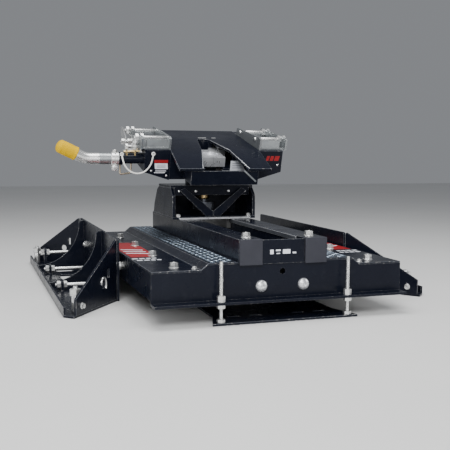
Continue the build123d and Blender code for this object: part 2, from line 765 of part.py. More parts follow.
def left_shell():
    """The left side box, bored for the pull bar, with the eye for the tether."""
    shell = mirrored(head_shell()) - handle_bore(-HEAD_HALF - 10, -PLATE_HALF + 10)
    x, y, z = CABLE_ROUTE[-1]
    return on_head(shell + bar((x, PLATE_REAR - 8, z), (x, y, z), EYE_RADIUS))


def ramp_under(y):
    """The height of the ramps' underside at y."""
    slope = RAMP_DROP / (PLATE_REAR - RAMP_REAR)
    return -PLATE_THICK - 3 - (PLATE_REAR - y) * slope


def skirt():
    """The box under the ramps: a rear panel and two cheeks that reach back to the shells."""
    top = ramp_under(SKIRT_REAR) - 2
    shape = block(-SKIRT_HALF, SKIRT_HALF, SKIRT_REAR, SKIRT_REAR + 8, SKIRT_BOTTOM, top)
    for side in (-1, 1):
        cheek = [
            (SKIRT_REAR, SKIRT_BOTTOM),
            (SKIRT_FRONT, SKIRT_BOTTOM),
            (SKIRT_FRONT, ramp_under(SKIRT_FRONT)),
            (SKIRT_REAR, ramp_under(SKIRT_REAR)),
        ]
        x0 = side * SKIRT_HALF
        x1 = side * (SKIRT_HALF - 8)
        shape += plate_yz(cheek, min(x0, x1), max(x0, x1))
    floor = block(-SKIRT_HALF, SKIRT_HALF, SKIRT_REAR, SKIRT_FRONT, SKIRT_BOTTOM, SKIRT_BOTTOM + 6)
    return on_head(shape + floor)


def cross_web():
    """The upright web behind the skirt that ties the shells together under the plate."""
    outline = [
        (-PLATE_HALF, WEB_TOP),
        (-70, WEB_TOP),
        (-70, -96),
        (70, -96),
        (70, WEB_TOP),
        (PLATE_HALF, WEB_TOP),
        (PLATE_HALF, -118),
        (-PLATE_HALF, -118),
    ]
    return plate_xz(outline, SKIRT_FRONT, SKIRT_FRONT + 8)


def handle_bore(x0, x1):
    """The passage for the pull bar."""
    return bar((x0, HANDLE_Y, HANDLE_Z), (x1, HANDLE_Y, HANDLE_Z), BAR_RADIUS + BAR_GAP)


def jaw_housing():
    """The pocket plate under the jaws, its side and end walls, and the fixed kingpin seat."""
    plate = block(-PLATE_HALF, PLATE_HALF, SKIRT_FRONT + 8, PLATE_FRONT - 10, POCKET_TOP - 8, POCKET_TOP)
    plate -= bar((0, 0, POCKET_TOP - 20), (0, 0, POCKET_TOP + 20), KINGPIN_RADIUS + 12)
    plate -= block(-38, 38, SKIRT_FRONT - 10, 0, POCKET_TOP - 20, POCKET_TOP + 20)
    for x0, x1 in ((-PLATE_HALF, -150), (150, PLATE_HALF)):
        plate += block(x0, x1, PLATE_REAR, PLATE_FRONT - 10, POCKET_TOP, -PLATE_THICK)
    wall_y = PLATE_FRONT - 18
    plate += block(-PLATE_HALF, PLATE_HALF, wall_y, wall_y + 8, POCKET_TOP - 24, -PLATE_THICK)
    seat = block(-44, 44, JAW_FRONT + 1, 96, POCKET_TOP, -PLATE_THICK)
    plate += seat - bar((0, 0, POCKET_TOP - 5), (0, 0, 5), KINGPIN_RADIUS + 1)
    return on_head(plate + cross_web() - handle_bore(-200, -100))


def jaw():
    """The right jaw: a quarter of the ring round the kingpin, its pin's boss and the lock arm."""
    ring_part = bar((0, 0, JAW_BOTTOM), (0, 0, JAW_TOP), 62)
    ring_part &= block(0.4, 80, -80, JAW_FRONT, JAW_BOTTOM, JAW_TOP)
    arm = block(0.4, 50, JAW_REAR, -10, JAW_BOTTOM, JAW_TOP)
    shape = ring_part + arm - bar((0, RELIEF_Y, JAW_TOP - 9), (0, RELIEF_Y, JAW_TOP + 5), RELIEF_RADIUS)
    shape += block(46, 92, -24, JAW_PIN_Y, JAW_BOTTOM, JAW_TOP)
    shape += bar((JAW_PIN_X, JAW_PIN_Y, JAW_BOTTOM), (JAW_PIN_X, JAW_PIN_Y, JAW_TOP), 22)
    shape -= bar((0, 0, JAW_BOTTOM - 5), (0, 0, JAW_TOP + 5), KINGPIN_RADIUS)
    pin_hole = JAW_PIN_RADIUS + PIN_GAP
    shape -= bar((JAW_PIN_X, JAW_PIN_Y, JAW_BOTTOM - 5), (JAW_PIN_X, JAW_PIN_Y, JAW_TOP + 5), pin_hole)
    return shape


def jaw_pin():
    """The right jaw's pin, between the pocket plate and the top plate."""
    foot = (JAW_PIN_X, JAW_PIN_Y, POCKET_TOP)
    return bar(foot, (JAW_PIN_X, JAW_PIN_Y, -PLATE_THICK), JAW_PIN_RADIUS)


def capture_plate(x0, x1):
    """One upright of a capture bracket, lower at its far end."""
    outline = [
        (CAPTURE_REAR, 0),
        (CAPTURE_FRONT, 0),
        (CAPTURE_FRONT, CAPTURE_FAR_HEIGHT - 8),
        (CAPTURE_FRONT - 8, CAPTURE_FAR_HEIGHT),
        (CAPTURE_REAR + 8, CAPTURE_HEIGHT),
        (CAPTURE_REAR - 6, CAPTURE_HEIGHT - 5),
    ]
    return plate_yz(outline, x0, x1)


def capture_bracket():
    """The right capture bracket: two uprights on a foot plate, with the wedge block at the rear."""
    shape = capture_plate(CAPTURE_INNER_X, CAPTURE_INNER_X + CAPTURE_THICK)
    shape += capture_plate(CAPTURE_OUTER_X - CAPTURE_THICK, CAPTURE_OUTER_X)
    shape += block(CAPTURE_INNER_X, CAPTURE_OUTER_X, CAPTURE_REAR + 10, CAPTURE_FRONT, 0, 6)
    shape += block(CAPTURE_INNER_X, CAPTURE_OUTER_X - 26, WEDGE_Y - 5, WEDGE_Y + 5, 6, 38)
    for y, z in CAPTURE_RODS:
        shape -= bar((CAPTURE_INNER_X - 9, y, z), (CAPTURE_OUTER_X + 9, y, z), CAPTURE_ROD_RADIUS)
    return shape


def capture_rods():
    """The right bracket's two cross rods."""
    return [
        bar((CAPTURE_INNER_X - 4, y, z), (CAPTURE_OUTER_X + 18, y, z), CAPTURE_ROD_RADIUS)
        for y, z in CAPTURE_RODS
    ]


def capture_nuts():
    """The nuts on the right bracket's cross rods, inside and outside the outer upright."""
    nuts = []
    inner = CAPTURE_OUTER_X - CAPTURE_THICK
    for y, z in CAPTURE_RODS:
        for x0, x1 in ((CAPTURE_OUTER_X, CAPTURE_OUTER_X + 13), (inner - 13, inner)):
            nuts.append(nut((x0, y, z), (x1, y, z), 28, CAPTURE_ROD_RADIUS))
    return nuts


def handle_stub():
    """The black guide tube on the left shell, with its end ring and the tether's lower eye."""
    start = (-HEAD_HALF, HANDLE_Y, HANDLE_Z)
    end = (STUB_END_X, HANDLE_Y, HANDLE_Z)
    mid = (STUB_END_X + 12, HANDLE_Y, HANDLE_Z)
    shape = bar(start, end, STUB_RADIUS) + bar(mid, end, STUB_RADIUS + 5)
    shape += bar((-378, HANDLE_Y - 16, HANDLE_Z + 10), CABLE_ROUTE[0], 5)
    return on_head(shape - handle_bore(-HEAD_HALF + 10, STUB_END_X - 10))


def pull_bar():
    """The bar inside the stub, from the jaw housing out to the collar."""
    return on_head(bar((BAR_INNER_X, HANDLE_Y, HANDLE_Z), (COLLAR_END_X, HANDLE_Y, HANDLE_Z), BAR_RADIUS))


def handle_collar():
    """The clamp that joins the handle to the pull bar, with its pinch bolts."""
    shape = bar((COLLAR_START_X, HANDLE_Y, HANDLE_Z), (COLLAR_END_X, HANDLE_Y, HANDLE_Z), 26)
    x0, x1 = COLLAR_END_X + 4, COLLAR_START_X - 4
    shape += block(x0, x1, HANDLE_Y - 14, HANDLE_Y + 14, HANDLE_Z - 46, HANDLE_Z - 20)
    x = (x0 + x1) / 2
    shape += hexagon((x, HANDLE_Y - 24, HANDLE_Z - 34), (x, HANDLE_Y - 14, HANDLE_Z - 34), 18)
    shape += hexagon((x, HANDLE_Y, HANDLE_Z + 22), (x, HANDLE_Y, HANDLE_Z + 35), 20)
    shape -= bar((COLLAR_START_X + 5, HANDLE_Y, HANDLE_Z), (COLLAR_END_X - 5, HANDLE_Y, HANDLE_Z), BAR_RADIUS)
    return on_head(shape)


def handle_tube():
    """The bent handle tube, straight out of the collar and then raised to the grip."""
    start = Vector(COLLAR_END_X, HANDLE_Y, HANDLE_Z)
    path = FilletPolyline(start, HANDLE_BEND, HANDLE_TIP, radius=90)
    section = Plane(origin=start, z_dir=(-1, 0, 0)) * Circle(TUBE_RADIUS)
    return on_head(sweep(section, path=path))


def handle_grip():
    """The dipped vinyl grip over the end of the tube."""
    along = (HANDLE_TIP - HANDLE_BEND).normalized()
    start = HANDLE_TIP - along * (GRIP_LENGTH - 8)
    end = HANDLE_TIP + along * 8
    outer = bar(tuple(start), tuple(end), GRIP_RADIUS)
    outer = fillet(outer.edges().sort_by(Axis.X)[:1], 12.0)
    return on_head(outer - bar(tuple(start - along * 5), tuple(HANDLE_TIP), TUBE_RADIUS))


def lock_pin():
    """The brass lock pin that lies in two ears over the stub."""
    y = HANDLE_Y - 4
    z = HANDLE_Z + STUB_RADIUS + 9
    shape = bar((-300, y, z + 2), (-366, y, z - 1), 4.5)
    for x in (-326, -358):
        shape += block(x, x + 6, y - 9, y + 9, HANDLE_Z, z + 7)
    return on_head(shape - bar((-280, HANDLE_Y, HANDLE_Z), (-400, HANDLE_Y, HANDLE_Z), STUB_RADIUS))


def wire_bail():
    """The bent wire under the stub, from its end ring back to its middle."""
    ring_x = STUB_END_X + 6
    points = [
        (ring_x, HANDLE_Y, HANDLE_Z - STUB_RADIUS - 5),
        (ring_x, HANDLE_Y - 6, HANDLE_Z - 62),
        (ring_x + 44, HANDLE_Y, HANDLE_Z - 58),
        (ring_x + 44, HANDLE_Y, HANDLE_Z - STUB_RADIUS),
    ]
    path = FilletPolyline(*points, radius=7)
    heading = Vector(*points[1]) - Vector(*points[0])
    section = Plane(origin=points[0], z_dir=heading) * Circle(BAIL_RADIUS)
    return on_head(sweep(section, path=path))


def corner_radii(points):
    """The largest arc that each corner's two runs allow."""
    radii = []
    for before, here, after in zip(points, points[1:], points[2:]):
        first = Vector(*here) - Vector(*before)
        second = Vector(*after) - Vector(*here)
        turn = radians(first.get_angle(second))
        radii.append(0.45 * min(first.length, second.length) / tan(turn / 2))
    return radii


def tether_cable():
    """The white coated cable that hangs in a loop between the stub's ring and the shell."""
    radii = corner_radii(CABLE_ROUTE)
    path = FilletPolyline(*CABLE_ROUTE, radius=radii)
    heading = Vector(*CABLE_ROUTE[1]) - Vector(*CABLE_ROUTE[0])
    section = Plane(origin=CABLE_ROUTE[0], z_dir=heading) * Circle(CABLE_RADIUS)
    cable = sweep(section, path=path)
    print("cable radii", [round(radius, 1) for radius in radii])
    print("cable length", round(path.length, 1))
    print("volume ratio", round(cable.volume / (section.area * path.length), 3))
    return on_head(cable)


NODES = {
    "rear_crossmember": rear_crossmember(),
    "front_crossmember": front_crossmember(),
    "deck_panels": both_sides([deck_panel()]),
    "tread_strips": both_sides([tread_strip()]),
    "platform_end_plates": both_sides([end_plate()]),
    "rail_left": mirrored(rail()),
    "rail_right": rail(),
    "rail_caps": both_sides([rail_cap()]),
    "channel_floor": channel_floor(),
    "channel_guide_strips": both_sides([channel_strip()]),
    "channel_end_plate": channel_end_plate(),
    "lower_clamp_plate": lower_plate(),
    "clamp_rods": both_sides([clamp_rod()]),
    "clamp_rod_nuts": both_sides(clamp_nuts()),
    "button_head_bolts": both_sides([button_bolt()]),
    "deck_hex_bolts": deck_bolts(),
    "bracket_joint_bolts": both_sides(joint_bolts()),
    "bracket_inner_plate_left": mirrored(bracket_inner_plate()),
    "bracket_inner_plate_right": bracket_inner_plate(),
    "bracket_foot_left": mirrored(bracket_base()),
    "bracket_foot_right": bracket_base(),
    "bracket_gussets_left": [mirrored(gusset) for gusset in bracket_gussets()],
    "bracket_gussets_right": bracket_gussets(),
    "bracket_tie_rods": both_sides([bracket_rod(y, z) for y, z in TIE_RODS]),
    "bracket_tie_rod_nuts": both_sides(bracket_nuts()),
    "bracket_corner_bolts": both_sides(corner_bolts()),
    "carriage_sole_plate": carriage_base(),
    "tower_side_plates": both_sides([tower_side_plate()]),
    "tower_web": tower_web(),
    "tower_top_plate": tower_top(),
    "tower_v_braces": both_sides([v_brace()]),
    "tower_bolts": tower_bolts(),
    "pivot_bush": pivot_bush(),
    "carriage_wear_bar": wear_bar(),
    "slide_shoes": both_sides([slide_shoe()]),
    "turret_yoke": turret_yoke(),
    "swivel_post": swivel_post(),
    "gimbal_block": gimbal_block(),
    "gimbal_pins": gimbal_pins(),
    "head_lugs": head_lugs(),
    "skid_plate": skid_plate(),
    "head_shell_left": left_shell(),
    "head_shell_right": on_head(head_shell()),
    "head_skirt": skirt(),
    "jaw_housing": jaw_housing(),
    "jaw_left": on_head(mirrored(jaw())),
    "jaw_right": on_head(jaw()),
    "jaw_pins": [on_head(pin) for pin in both_sides([jaw_pin()])],
    "capture_bracket_left": on_head(mirrored(capture_bracket())),
    "capture_bracket_right": on_head(capture_bracket()),
    "capture_rods": [on_head(rod) for rod in both_sides(capture_rods())],
    "capture_rod_nuts": [on_head(part) for part in both_sides(capture_nuts())],
    "handle_stub": handle_stub(),
    "pull_bar": pull_bar(),
    "handle_collar": handle_collar(),
    "handle_tube": handle_tube(),
    "handle_grip": handle_grip(),
    "lock_pin": lock_pin(),
    "wire_bail": wire_bail(),
    "tether_cable": tether_cable(),
}

os.makedirs("parts", exist_ok=True)
for node, shapes in NODES.items():
    save(node, shapes)
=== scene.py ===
import json
from math import ceil, cos, pi, radians, sin

import bmesh
import bpy
from mathutils import Matrix, Vector


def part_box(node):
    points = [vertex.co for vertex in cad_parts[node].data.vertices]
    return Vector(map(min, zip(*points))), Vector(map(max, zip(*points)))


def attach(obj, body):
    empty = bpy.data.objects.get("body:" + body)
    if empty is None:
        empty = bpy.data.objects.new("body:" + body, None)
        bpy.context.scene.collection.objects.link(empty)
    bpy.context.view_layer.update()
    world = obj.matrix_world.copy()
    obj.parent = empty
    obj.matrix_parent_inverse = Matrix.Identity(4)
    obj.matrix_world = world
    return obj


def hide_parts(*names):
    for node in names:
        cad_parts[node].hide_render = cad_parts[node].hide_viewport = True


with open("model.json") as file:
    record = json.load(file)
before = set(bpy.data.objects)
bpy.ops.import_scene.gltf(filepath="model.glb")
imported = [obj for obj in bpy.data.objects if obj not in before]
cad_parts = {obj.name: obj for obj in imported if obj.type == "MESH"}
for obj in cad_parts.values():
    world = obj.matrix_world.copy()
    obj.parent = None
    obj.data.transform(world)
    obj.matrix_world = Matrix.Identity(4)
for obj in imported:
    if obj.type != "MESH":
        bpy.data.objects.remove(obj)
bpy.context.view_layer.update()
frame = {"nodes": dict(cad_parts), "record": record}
record = frame["record"]

MM = 0.001
SLOT_OF = {part["node"]: part["material_slot"] for part in record["subparts"]}
BODY_OF = {node: body for body, nodes in record["behaviour"]["bodies"].items() for node in nodes}
MOUNTS = {mount["name"]: mount for mount in record["mounts"]}

# The head's own frame: the kingpin's centre on the top plate, X right, Y forward, Z up
socket = MOUNTS["kingpin_socket"]
HEAD_UP = Vector(socket["axis"]).normalized()
HEAD_FORWARD = Vector((0, HEAD_UP.z, -HEAD_UP.y))
HEAD = Matrix.Translation(socket["pos_m"]) @ Matrix(((1, 0, 0), HEAD_FORWARD, HEAD_UP)).transposed().to_4x4()
WORLD = Matrix.Identity(4)

# The camera: its lens in millimetres, its place in metres and its angles in degrees
CAMERA_LENS = 60.8
CAMERA_SPOT = (-0.9626, -2.2153, 0.5389)
CAMERA_TURN, CAMERA_PITCH, CAMERA_ROLL = 19.07, -5.63, 0.45
FLOOR_HALF = 9.0

# CAD nodes that get rounded edges, and how far they are rounded, in millimetres
HEAVY_EASE, LIGHT_EASE = 1.6, 0.9
HEAVY_PLATES = (
    "rear_crossmember", "front_crossmember", "deck_panels", "platform_end_plates", "rail_left",
    "rail_right", "bracket_inner_plate_left", "bracket_inner_plate_right", "bracket_foot_left",
    "bracket_foot_right", "bracket_gussets_left", "bracket_gussets_right", "lower_clamp_plate",
    "tower_side_plates", "tower_top_plate", "tower_v_braces", "skid_plate", "head_shell_left",
    "head_shell_right", "head_skirt", "jaw_housing",
)
LIGHT_PLATES = (
    "rail_caps", "channel_floor", "channel_end_plate", "carriage_sole_plate", "carriage_wear_bar",
    "tower_web", "slide_shoes", "turret_yoke", "gimbal_block", "head_lugs", "capture_bracket_left",
    "capture_bracket_right", "jaw_left", "jaw_right", "channel_guide_strips", "handle_tube",
    "handle_stub",
)

# Sizes in metres
SIDES = 48  # points in a turned ring
WASHER_THICK = 2.5 * MM
ROD_PITCH = 2 * MM
THREADED_END = 42 * MM
FOOT_THICK = 8 * MM
DECK_THICK = 6 * MM
TREAD_SKIN = 1.0 * MM  # the tread strip below its raised bars
LATCH_THICK, LATCH_EDGE = 5 * MM, 0.8 * MM
FILM_LOW, FILM_HIGH = -0.1 * MM, 0.5 * MM  # a label, from just inside a face to its outside

# Places in millimetres in the head's frame
SHELL_FACE, WEB_FACE = -173.0, -176.0  # rear faces of the side shells and the throat's web
STUB_Y, STUB_Z = -130.0, -46.0  # the axis of the handle and its stub
CABLE_ROUTE = (
    (-378, -158, -22), (-377, -171, -40), (-368, -180, -64),
    (-349, -184, -84), (-322, -186, -93), (-294, -186, -87),
    (-273, -185, -67), (-262, -184, -40), (-259, -182, -14),
)
CABLE_DIAMETER = 6.0 * MM


def head_point(x, y, z):
    """A point given in millimetres in the head's frame."""
    return HEAD @ (Vector((x, y, z)) * MM)


def placed(name, data):
    """A new object in the scene."""
    thing = bpy.data.objects.new(name, data)
    bpy.context.collection.objects.link(thing)
    return thing


def in_head(x, y, z):
    """A place given in millimetres in the head's frame."""
    return HEAD @ Matrix.Translation(Vector((x, y, z)) * MM)


# ---- camera, light and floor


def make_camera():
    """The camera at the photographed angle: behind the tailgate, left of the hitch."""
    data = bpy.data.cameras.new("camera")
    data.lens = CAMERA_LENS
    data.sensor_width = 36.0
    lens = placed("camera", data)
    turn, pitch, roll = radians(CAMERA_TURN), radians(CAMERA_PITCH), radians(CAMERA_ROLL)
    heading = Vector((sin(turn) * cos(pitch), cos(turn) * cos(pitch), sin(pitch)))
    aim = heading.to_track_quat("-Z", "Y").to_matrix().to_4x4()
    spot = Matrix.Translation(CAMERA_SPOT)
    lens.matrix_world = spot @ aim @ Matrix.Rotation(roll, 4, "Z")
    bpy.context.scene.camera = lens


def softbox(name, spot, target, size, power):
    """An area light that faces a target."""
    data = bpy.data.lights.new(name, "AREA")
    data.shape = "RECTANGLE"
    data.size, data.size_y = size
    data.energy = power
    lamp = placed(name, data)
    lamp.location = spot
    lamp.rotation_euler = (Vector(target) - Vector(spot)).to_track_quat("-Z", "Y").to_euler()


def make_studio():
    """Soft boxes over and beside the hitch, a grey surround and a pale floor."""
    softbox("key", (-1.4, -2.6, 2.4), (0, 0.5, 0.3), (1.8, 1.4), 105)
    softbox("overhead", (-0.2, 0.4, 3.0), (0, 0.6, 0.2), (2.4, 1.4), 75)
    softbox("left", (-3.2, 0.4, 1.3), (0, 0.7, 0.3), (1.2, 2.0), 30)
    softbox("right", (3.0, -1.2, 1.6), (0, 0.6, 0.3), (1.4, 1.8), 45)
    softbox("low", (-0.6, -3.4, 0.9), (0, 0.5, 0.4), (2.4, 0.7), 38)
    world = bpy.data.worlds.new("studio")
    world.use_nodes = True
    surround = world.node_tree.nodes["Background"]
    surround.inputs["Color"].default_value = (0.78, 0.81, 0.86, 1)
    surround.inputs["Strength"].default_value = 0.3
    bpy.context.scene.world = world
    half = FLOOR_HALF
    mesh = bpy.data.meshes.new("floor")
    corners = [(-half, -half, 0), (half, -half, 0), (half, half, 0), (-half, half, 0)]
    mesh.from_pydata(corners, [], [(0, 1, 2, 3)])
    floor = placed("floor", mesh)
    mesh.materials.append(floor_finish())


# ---- materials


class Finish:
    """A material on one Principled shader, with textures measured in metres on the object.

    Its plain colour and roughness stand in wherever its textures aren't shown.
    """

    def __init__(self, name, colour, roughness, metallic=0.0, coat=0.0):
        self.material = bpy.data.materials.new(name)
        self.material.use_nodes = True
        self.nodes = self.material.node_tree.nodes
        self.shader = self.nodes["Principled BSDF"]
        self.put("Base Color", (*colour, 1.0))
        self.put("Roughness", roughness)
        self.put("Metallic", metallic)
        self.put("Coat Weight", coat)
        self.place = self.nodes.new("ShaderNodeTexCoord").outputs["Object"]

    def put(self, name, value):
        """Sets one of the shader's own sockets."""
        self.shader.inputs[name].default_value = value

    def wire(self, source, target):
        """Links an output to an input."""
        self.material.node_tree.links.new(source, target)

    def stretched(self, stretch):
        """The object's coordinates, scaled along each axis."""
        mapping = self.nodes.new("ShaderNodeMapping")
        mapping.inputs["Scale"].default_value = stretch
        self.wire(self.place, mapping.inputs["Vector"])
        return mapping.outputs["Vector"]

    def noise(self, scale, detail=4.0, stretch=(1, 1, 1)):
        """Cloudy noise with so many features in a metre."""
        texture = self.nodes.new("ShaderNodeTexNoise")
        texture.inputs["Scale"].default_value = scale
        texture.inputs["Detail"].default_value = detail
        self.wire(self.stretched(stretch), texture.inputs["Vector"])
        return texture.outputs["Fac"]

    def cells(self, scale):
        """The distance to the middle of the nearest cell."""
        texture = self.nodes.new("ShaderNodeTexVoronoi")
        texture.inputs["Scale"].default_value = scale
        self.wire(self.place, texture.inputs["Vector"])
        return texture.outputs["Distance"]

    def height(self):
        """The object's own Z coordinate."""
        split = self.nodes.new("ShaderNodeSeparateXYZ")
        self.wire(self.place, split.inputs["Vector"])
        return split.outputs["Z"]

    def span(self, value, low, high, to_low=0.0, to_high=1.0):
        """Maps one range of a value to another, and clamps it there."""
        node = self.nodes.new("ShaderNodeMapRange")
        for name, number in (("From Min", low), ("From Max", high), ("To Min", to_low), ("To Max", to_high)):
            node.inputs[name].default_value = number
        self.wire(value, node.inputs["Value"])
        return node.outputs["Result"]

    def feed(self, value, target):
        """Gives an input either a colour or another node's output."""
        if isinstance(value, tuple):
            target.default_value = (*value, 1.0)
        else:
            self.wire(value, target)

    def blend(self, factor, first, second):
        """Mixes two colours, each a tuple or another node's output."""
        node = self.nodes.new("ShaderNodeMix")
        node.data_type = "RGBA"
        colours = [item for item in node.inputs if item.type == "RGBA"]
        self.wire(factor, node.inputs[0])
        self.feed(first, colours[0])
        self.feed(second, colours[1])
        return [item for item in node.outputs if item.type == "RGBA"][0]

    def colour(self, source):
        """Drives the base colour."""
        self.wire(source, self.shader.inputs["Base Color"])

    def rough(self, source, low, high):
        """Drives the roughness with a texture, between two values."""
        self.wire(self.span(source, 0.25, 0.75, low, high), self.shader.inputs["Roughness"])

    def relief(self, *layers):
        """Bumps the surface with textures, each with its depth in metres."""
        total = None
        for texture, depth in layers:
            scaled = self.nodes.new("ShaderNodeMath")
            scaled.operation = "MULTIPLY_ADD"
            self.wire(texture, scaled.inputs[0])
            scaled.inputs[1].default_value = depth
            if total is not None:
                self.wire(total, scaled.inputs[2])
            else:
                scaled.inputs[2].default_value = 0.0
            total = scaled.outputs["Value"]
        bump = self.nodes.new("ShaderNodeBump")
        bump.inputs["Distance"].default_value = 1.0
        self.wire(total, bump.inputs["Height"])
        self.wire(bump.outputs["Normal"], self.shader.inputs["Normal"])


def clouded(finish, clouds, colours, grain, shine, *bumps):
    """Clouds a finish between two colours and two roughnesses, and bumps it with noise.

    Clouds, grain and bumps give a noise its scale, detail and stretch. A bump ends with its depth.
    """
    finish.colour(finish.blend(finish.noise(*clouds), *colours))
    finish.rough(finish.noise(*grain), *shine)
    finish.relief(*[(finish.noise(*bump), depth) for *bump, depth in bumps])
    return finish.material


def floor_finish():
    """A pale matt floor."""
    finish = Finish("pale_floor", (0.72, 0.72, 0.71), 0.7)
    finish.colour(finish.blend(finish.noise(1.6), (0.70, 0.70, 0.69), (0.76, 0.76, 0.75)))
    return finish.material


def black_paint():
    """Glossy black powder coat: faint orange peel, dust and handling haze."""
    finish = Finish("black_paint", (0.004, 0.006, 0.011), 0.28, coat=0.05)
    finish.put("Specular IOR Level", 0.13)
    finish.put("Coat Roughness", 0.12)
    base = finish.blend(finish.noise(7), (0.003, 0.004, 0.009), (0.007, 0.009, 0.017))
    dust = finish.span(finish.noise(38, detail=6), 0.56, 0.78, 0.0, 0.03)
    finish.colour(finish.blend(dust, base, (0.18, 0.18, 0.20)))
    finish.rough(finish.noise(16, detail=8), 0.20, 0.36)
    finish.relief((finish.noise(340, detail=2), 0.00009), (finish.noise(26), 0.00025))
    return finish.material


def paint_edge_chips_and_highlight():
    """The same paint along a sheared edge, painted lighter than its faces as a highlight, and chipped
    through to steel in places.
    """
    finish = Finish("black_paint_edge_chips_and_highlight", (0.05, 0.05, 0.06), 0.32)
    chips = finish.span(finish.noise(85, detail=9), 0.54, 0.62)
    # painted highlight: the edge is lighter than the paint's faces; the chips are wear through to steel
    finish.colour(finish.blend(chips, (0.045, 0.050, 0.062), (0.42, 0.41, 0.40)))
    finish.wire(chips, finish.shader.inputs["Metallic"])
    finish.rough(finish.noise(120), 0.24, 0.46)
    finish.relief((finish.noise(260), 0.00012))
    return finish.material


def zinc_plate():
    """Bright zinc plate with a faint spangle and a few dull patches."""
    finish = Finish("zinc_plate", (0.78, 0.78, 0.76), 0.28, metallic=0.85)
    patch = finish.blend(finish.noise(45, detail=6), (0.66, 0.67, 0.67), (0.86, 0.86, 0.84))
    tarnish = finish.span(finish.noise(90, detail=4), 0.6, 0.8, 0.0, 0.2)
    finish.colour(finish.blend(tarnish, patch, (0.46, 0.44, 0.40)))
    finish.rough(finish.noise(60, detail=3), 0.22, 0.36)
    finish.relief((finish.noise(160, detail=2), 0.00003), (finish.cells(120), 0.00001))
    return finish.material


def zinc_sheet():
    """Dull plated sheet, greyer than the plated hardware."""
    finish = Finish("zinc_sheet", (0.30, 0.32, 0.33), 0.34, metallic=0.8)
    colours = (0.25, 0.27, 0.29), (0.40, 0.42, 0.42)
    return clouded(finish, (28, 4), colours, (50, 3), (0.26, 0.42), (140, 2, 0.00003))


def zinc_edge_painted_highlight():
    """The plated edge, painted brighter than its faces as a highlight."""
    finish = Finish("zinc_plate_edge_painted_highlight", (0.85, 0.85, 0.83), 0.26, metallic=0.8)
    # painted highlight: lighter than the plated faces
    colours = (0.76, 0.76, 0.75), (0.92, 0.92, 0.90)
    return clouded(finish, (80,), colours, (90,), (0.20, 0.32), (150, 2, 0.00003))


def tread_steel():
    """Blue-bright rolled steel: its raised bars painted lighter as highlight and the skin between them
    painted darker as shade, with grime patches at random and scuffs along the walk.
    """
    finish = Finish("tread_steel", (0.45, 0.52, 0.58), 0.3, metallic=1.0)
    sheen = finish.blend(finish.noise(22, detail=7), (0.34, 0.44, 0.56), (0.64, 0.74, 0.84))
    low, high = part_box("tread_strips")
    # painted highlight and shade: the raised bars light, the skin between them dark
    raised = finish.span(finish.height(), low.z + TREAD_SKIN, high.z - 0.2 * MM)
    sheen = finish.blend(raised, (0.09, 0.11, 0.15), sheen)
    grime = finish.span(finish.noise(60, detail=8), 0.54, 0.74, 0.0, 0.5)
    finish.colour(finish.blend(grime, sheen, (0.08, 0.09, 0.12)))
    finish.rough(finish.noise(60, detail=8), 0.16, 0.48)
    finish.relief((finish.noise(420, detail=5), 0.00006), (finish.noise(90, stretch=(6, 0.4, 6)), 0.00006))
    return finish.material


def bright_steel():
    """Machined steel with fine cutter lines and traces of grease."""
    finish = Finish("bright_steel", (0.84, 0.85, 0.87), 0.3, metallic=0.7)
    sheen = finish.blend(finish.noise(30, detail=6), (0.62, 0.63, 0.66), (0.78, 0.79, 0.81))
    grease = finish.span(finish.noise(22, detail=4), 0.60, 0.80, 0.0, 0.2)
    finish.colour(finish.blend(grease, sheen, (0.42, 0.38, 0.32)))
    finish.rough(finish.noise(55, detail=6), 0.22, 0.42)
    finish.relief((finish.noise(40, detail=2, stretch=(1, 6, 6)), 0.00002))
    return finish.material


def dark_steel_and_shade():
    """Dark oiled steel in random clouds; on the swivel post in the tower's recess its darkness is painted
    shade.
    """
    finish = Finish("dark_steel_and_shade", (0.14, 0.15, 0.17), 0.36, metallic=0.7)
    colours = (0.08, 0.09, 0.11), (0.20, 0.21, 0.24)
    drawn = (80, 3, (8, 0.4, 8), 0.00003)
    return clouded(finish, (24, 5), colours, (40, 4, (6, 0.5, 6)), (0.26, 0.46), drawn)


def cast_iron():
    """Oiled casting skin."""
    finish = Finish("cast_iron", (0.09, 0.09, 0.10), 0.45, metallic=0.7)
    colours = (0.05, 0.05, 0.055), (0.15, 0.145, 0.14)
    return clouded(finish, (60, 8), colours, (50,), (0.35, 0.6), (380, 6, 0.0003))


def charcoal_plastic():
    """Moulded caps with a fine spark-eroded grain."""
    finish = Finish("charcoal_plastic", (0.026, 0.027, 0.036), 0.5)
    finish.put("Specular IOR Level", 0.3)
    finish.colour(finish.blend(finish.noise(24, detail=5), (0.021, 0.022, 0.031), (0.034, 0.035, 0.046)))
    finish.rough(finish.noise(200, detail=4), 0.40, 0.60)
    finish.relief((finish.cells(1100), 0.00005), (finish.noise(500, detail=3), 0.00005))
    return finish.material


def nylon():
    """Dark slide shoes, polished along their travel."""
    finish = Finish("nylon", (0.06, 0.06, 0.06), 0.4)
    colours = (0.045, 0.045, 0.045), (0.08, 0.08, 0.08)
    return clouded(finish, (40,), colours, (30, 4, (8, 0.5, 8)), (0.28, 0.5), (160, 4, (4, 0.3, 4), 0.0001))


def bronze():
    """Turned bronze, browner where it isn't rubbed."""
    finish = Finish("bronze", (0.68, 0.50, 0.24), 0.26, metallic=1.0)
    colours = (0.52, 0.36, 0.17), (0.80, 0.63, 0.33)
    return clouded(finish, (70, 6), colours, (90, 5), (0.18, 0.42), (60, 4, (1, 1, 14), 0.00004))


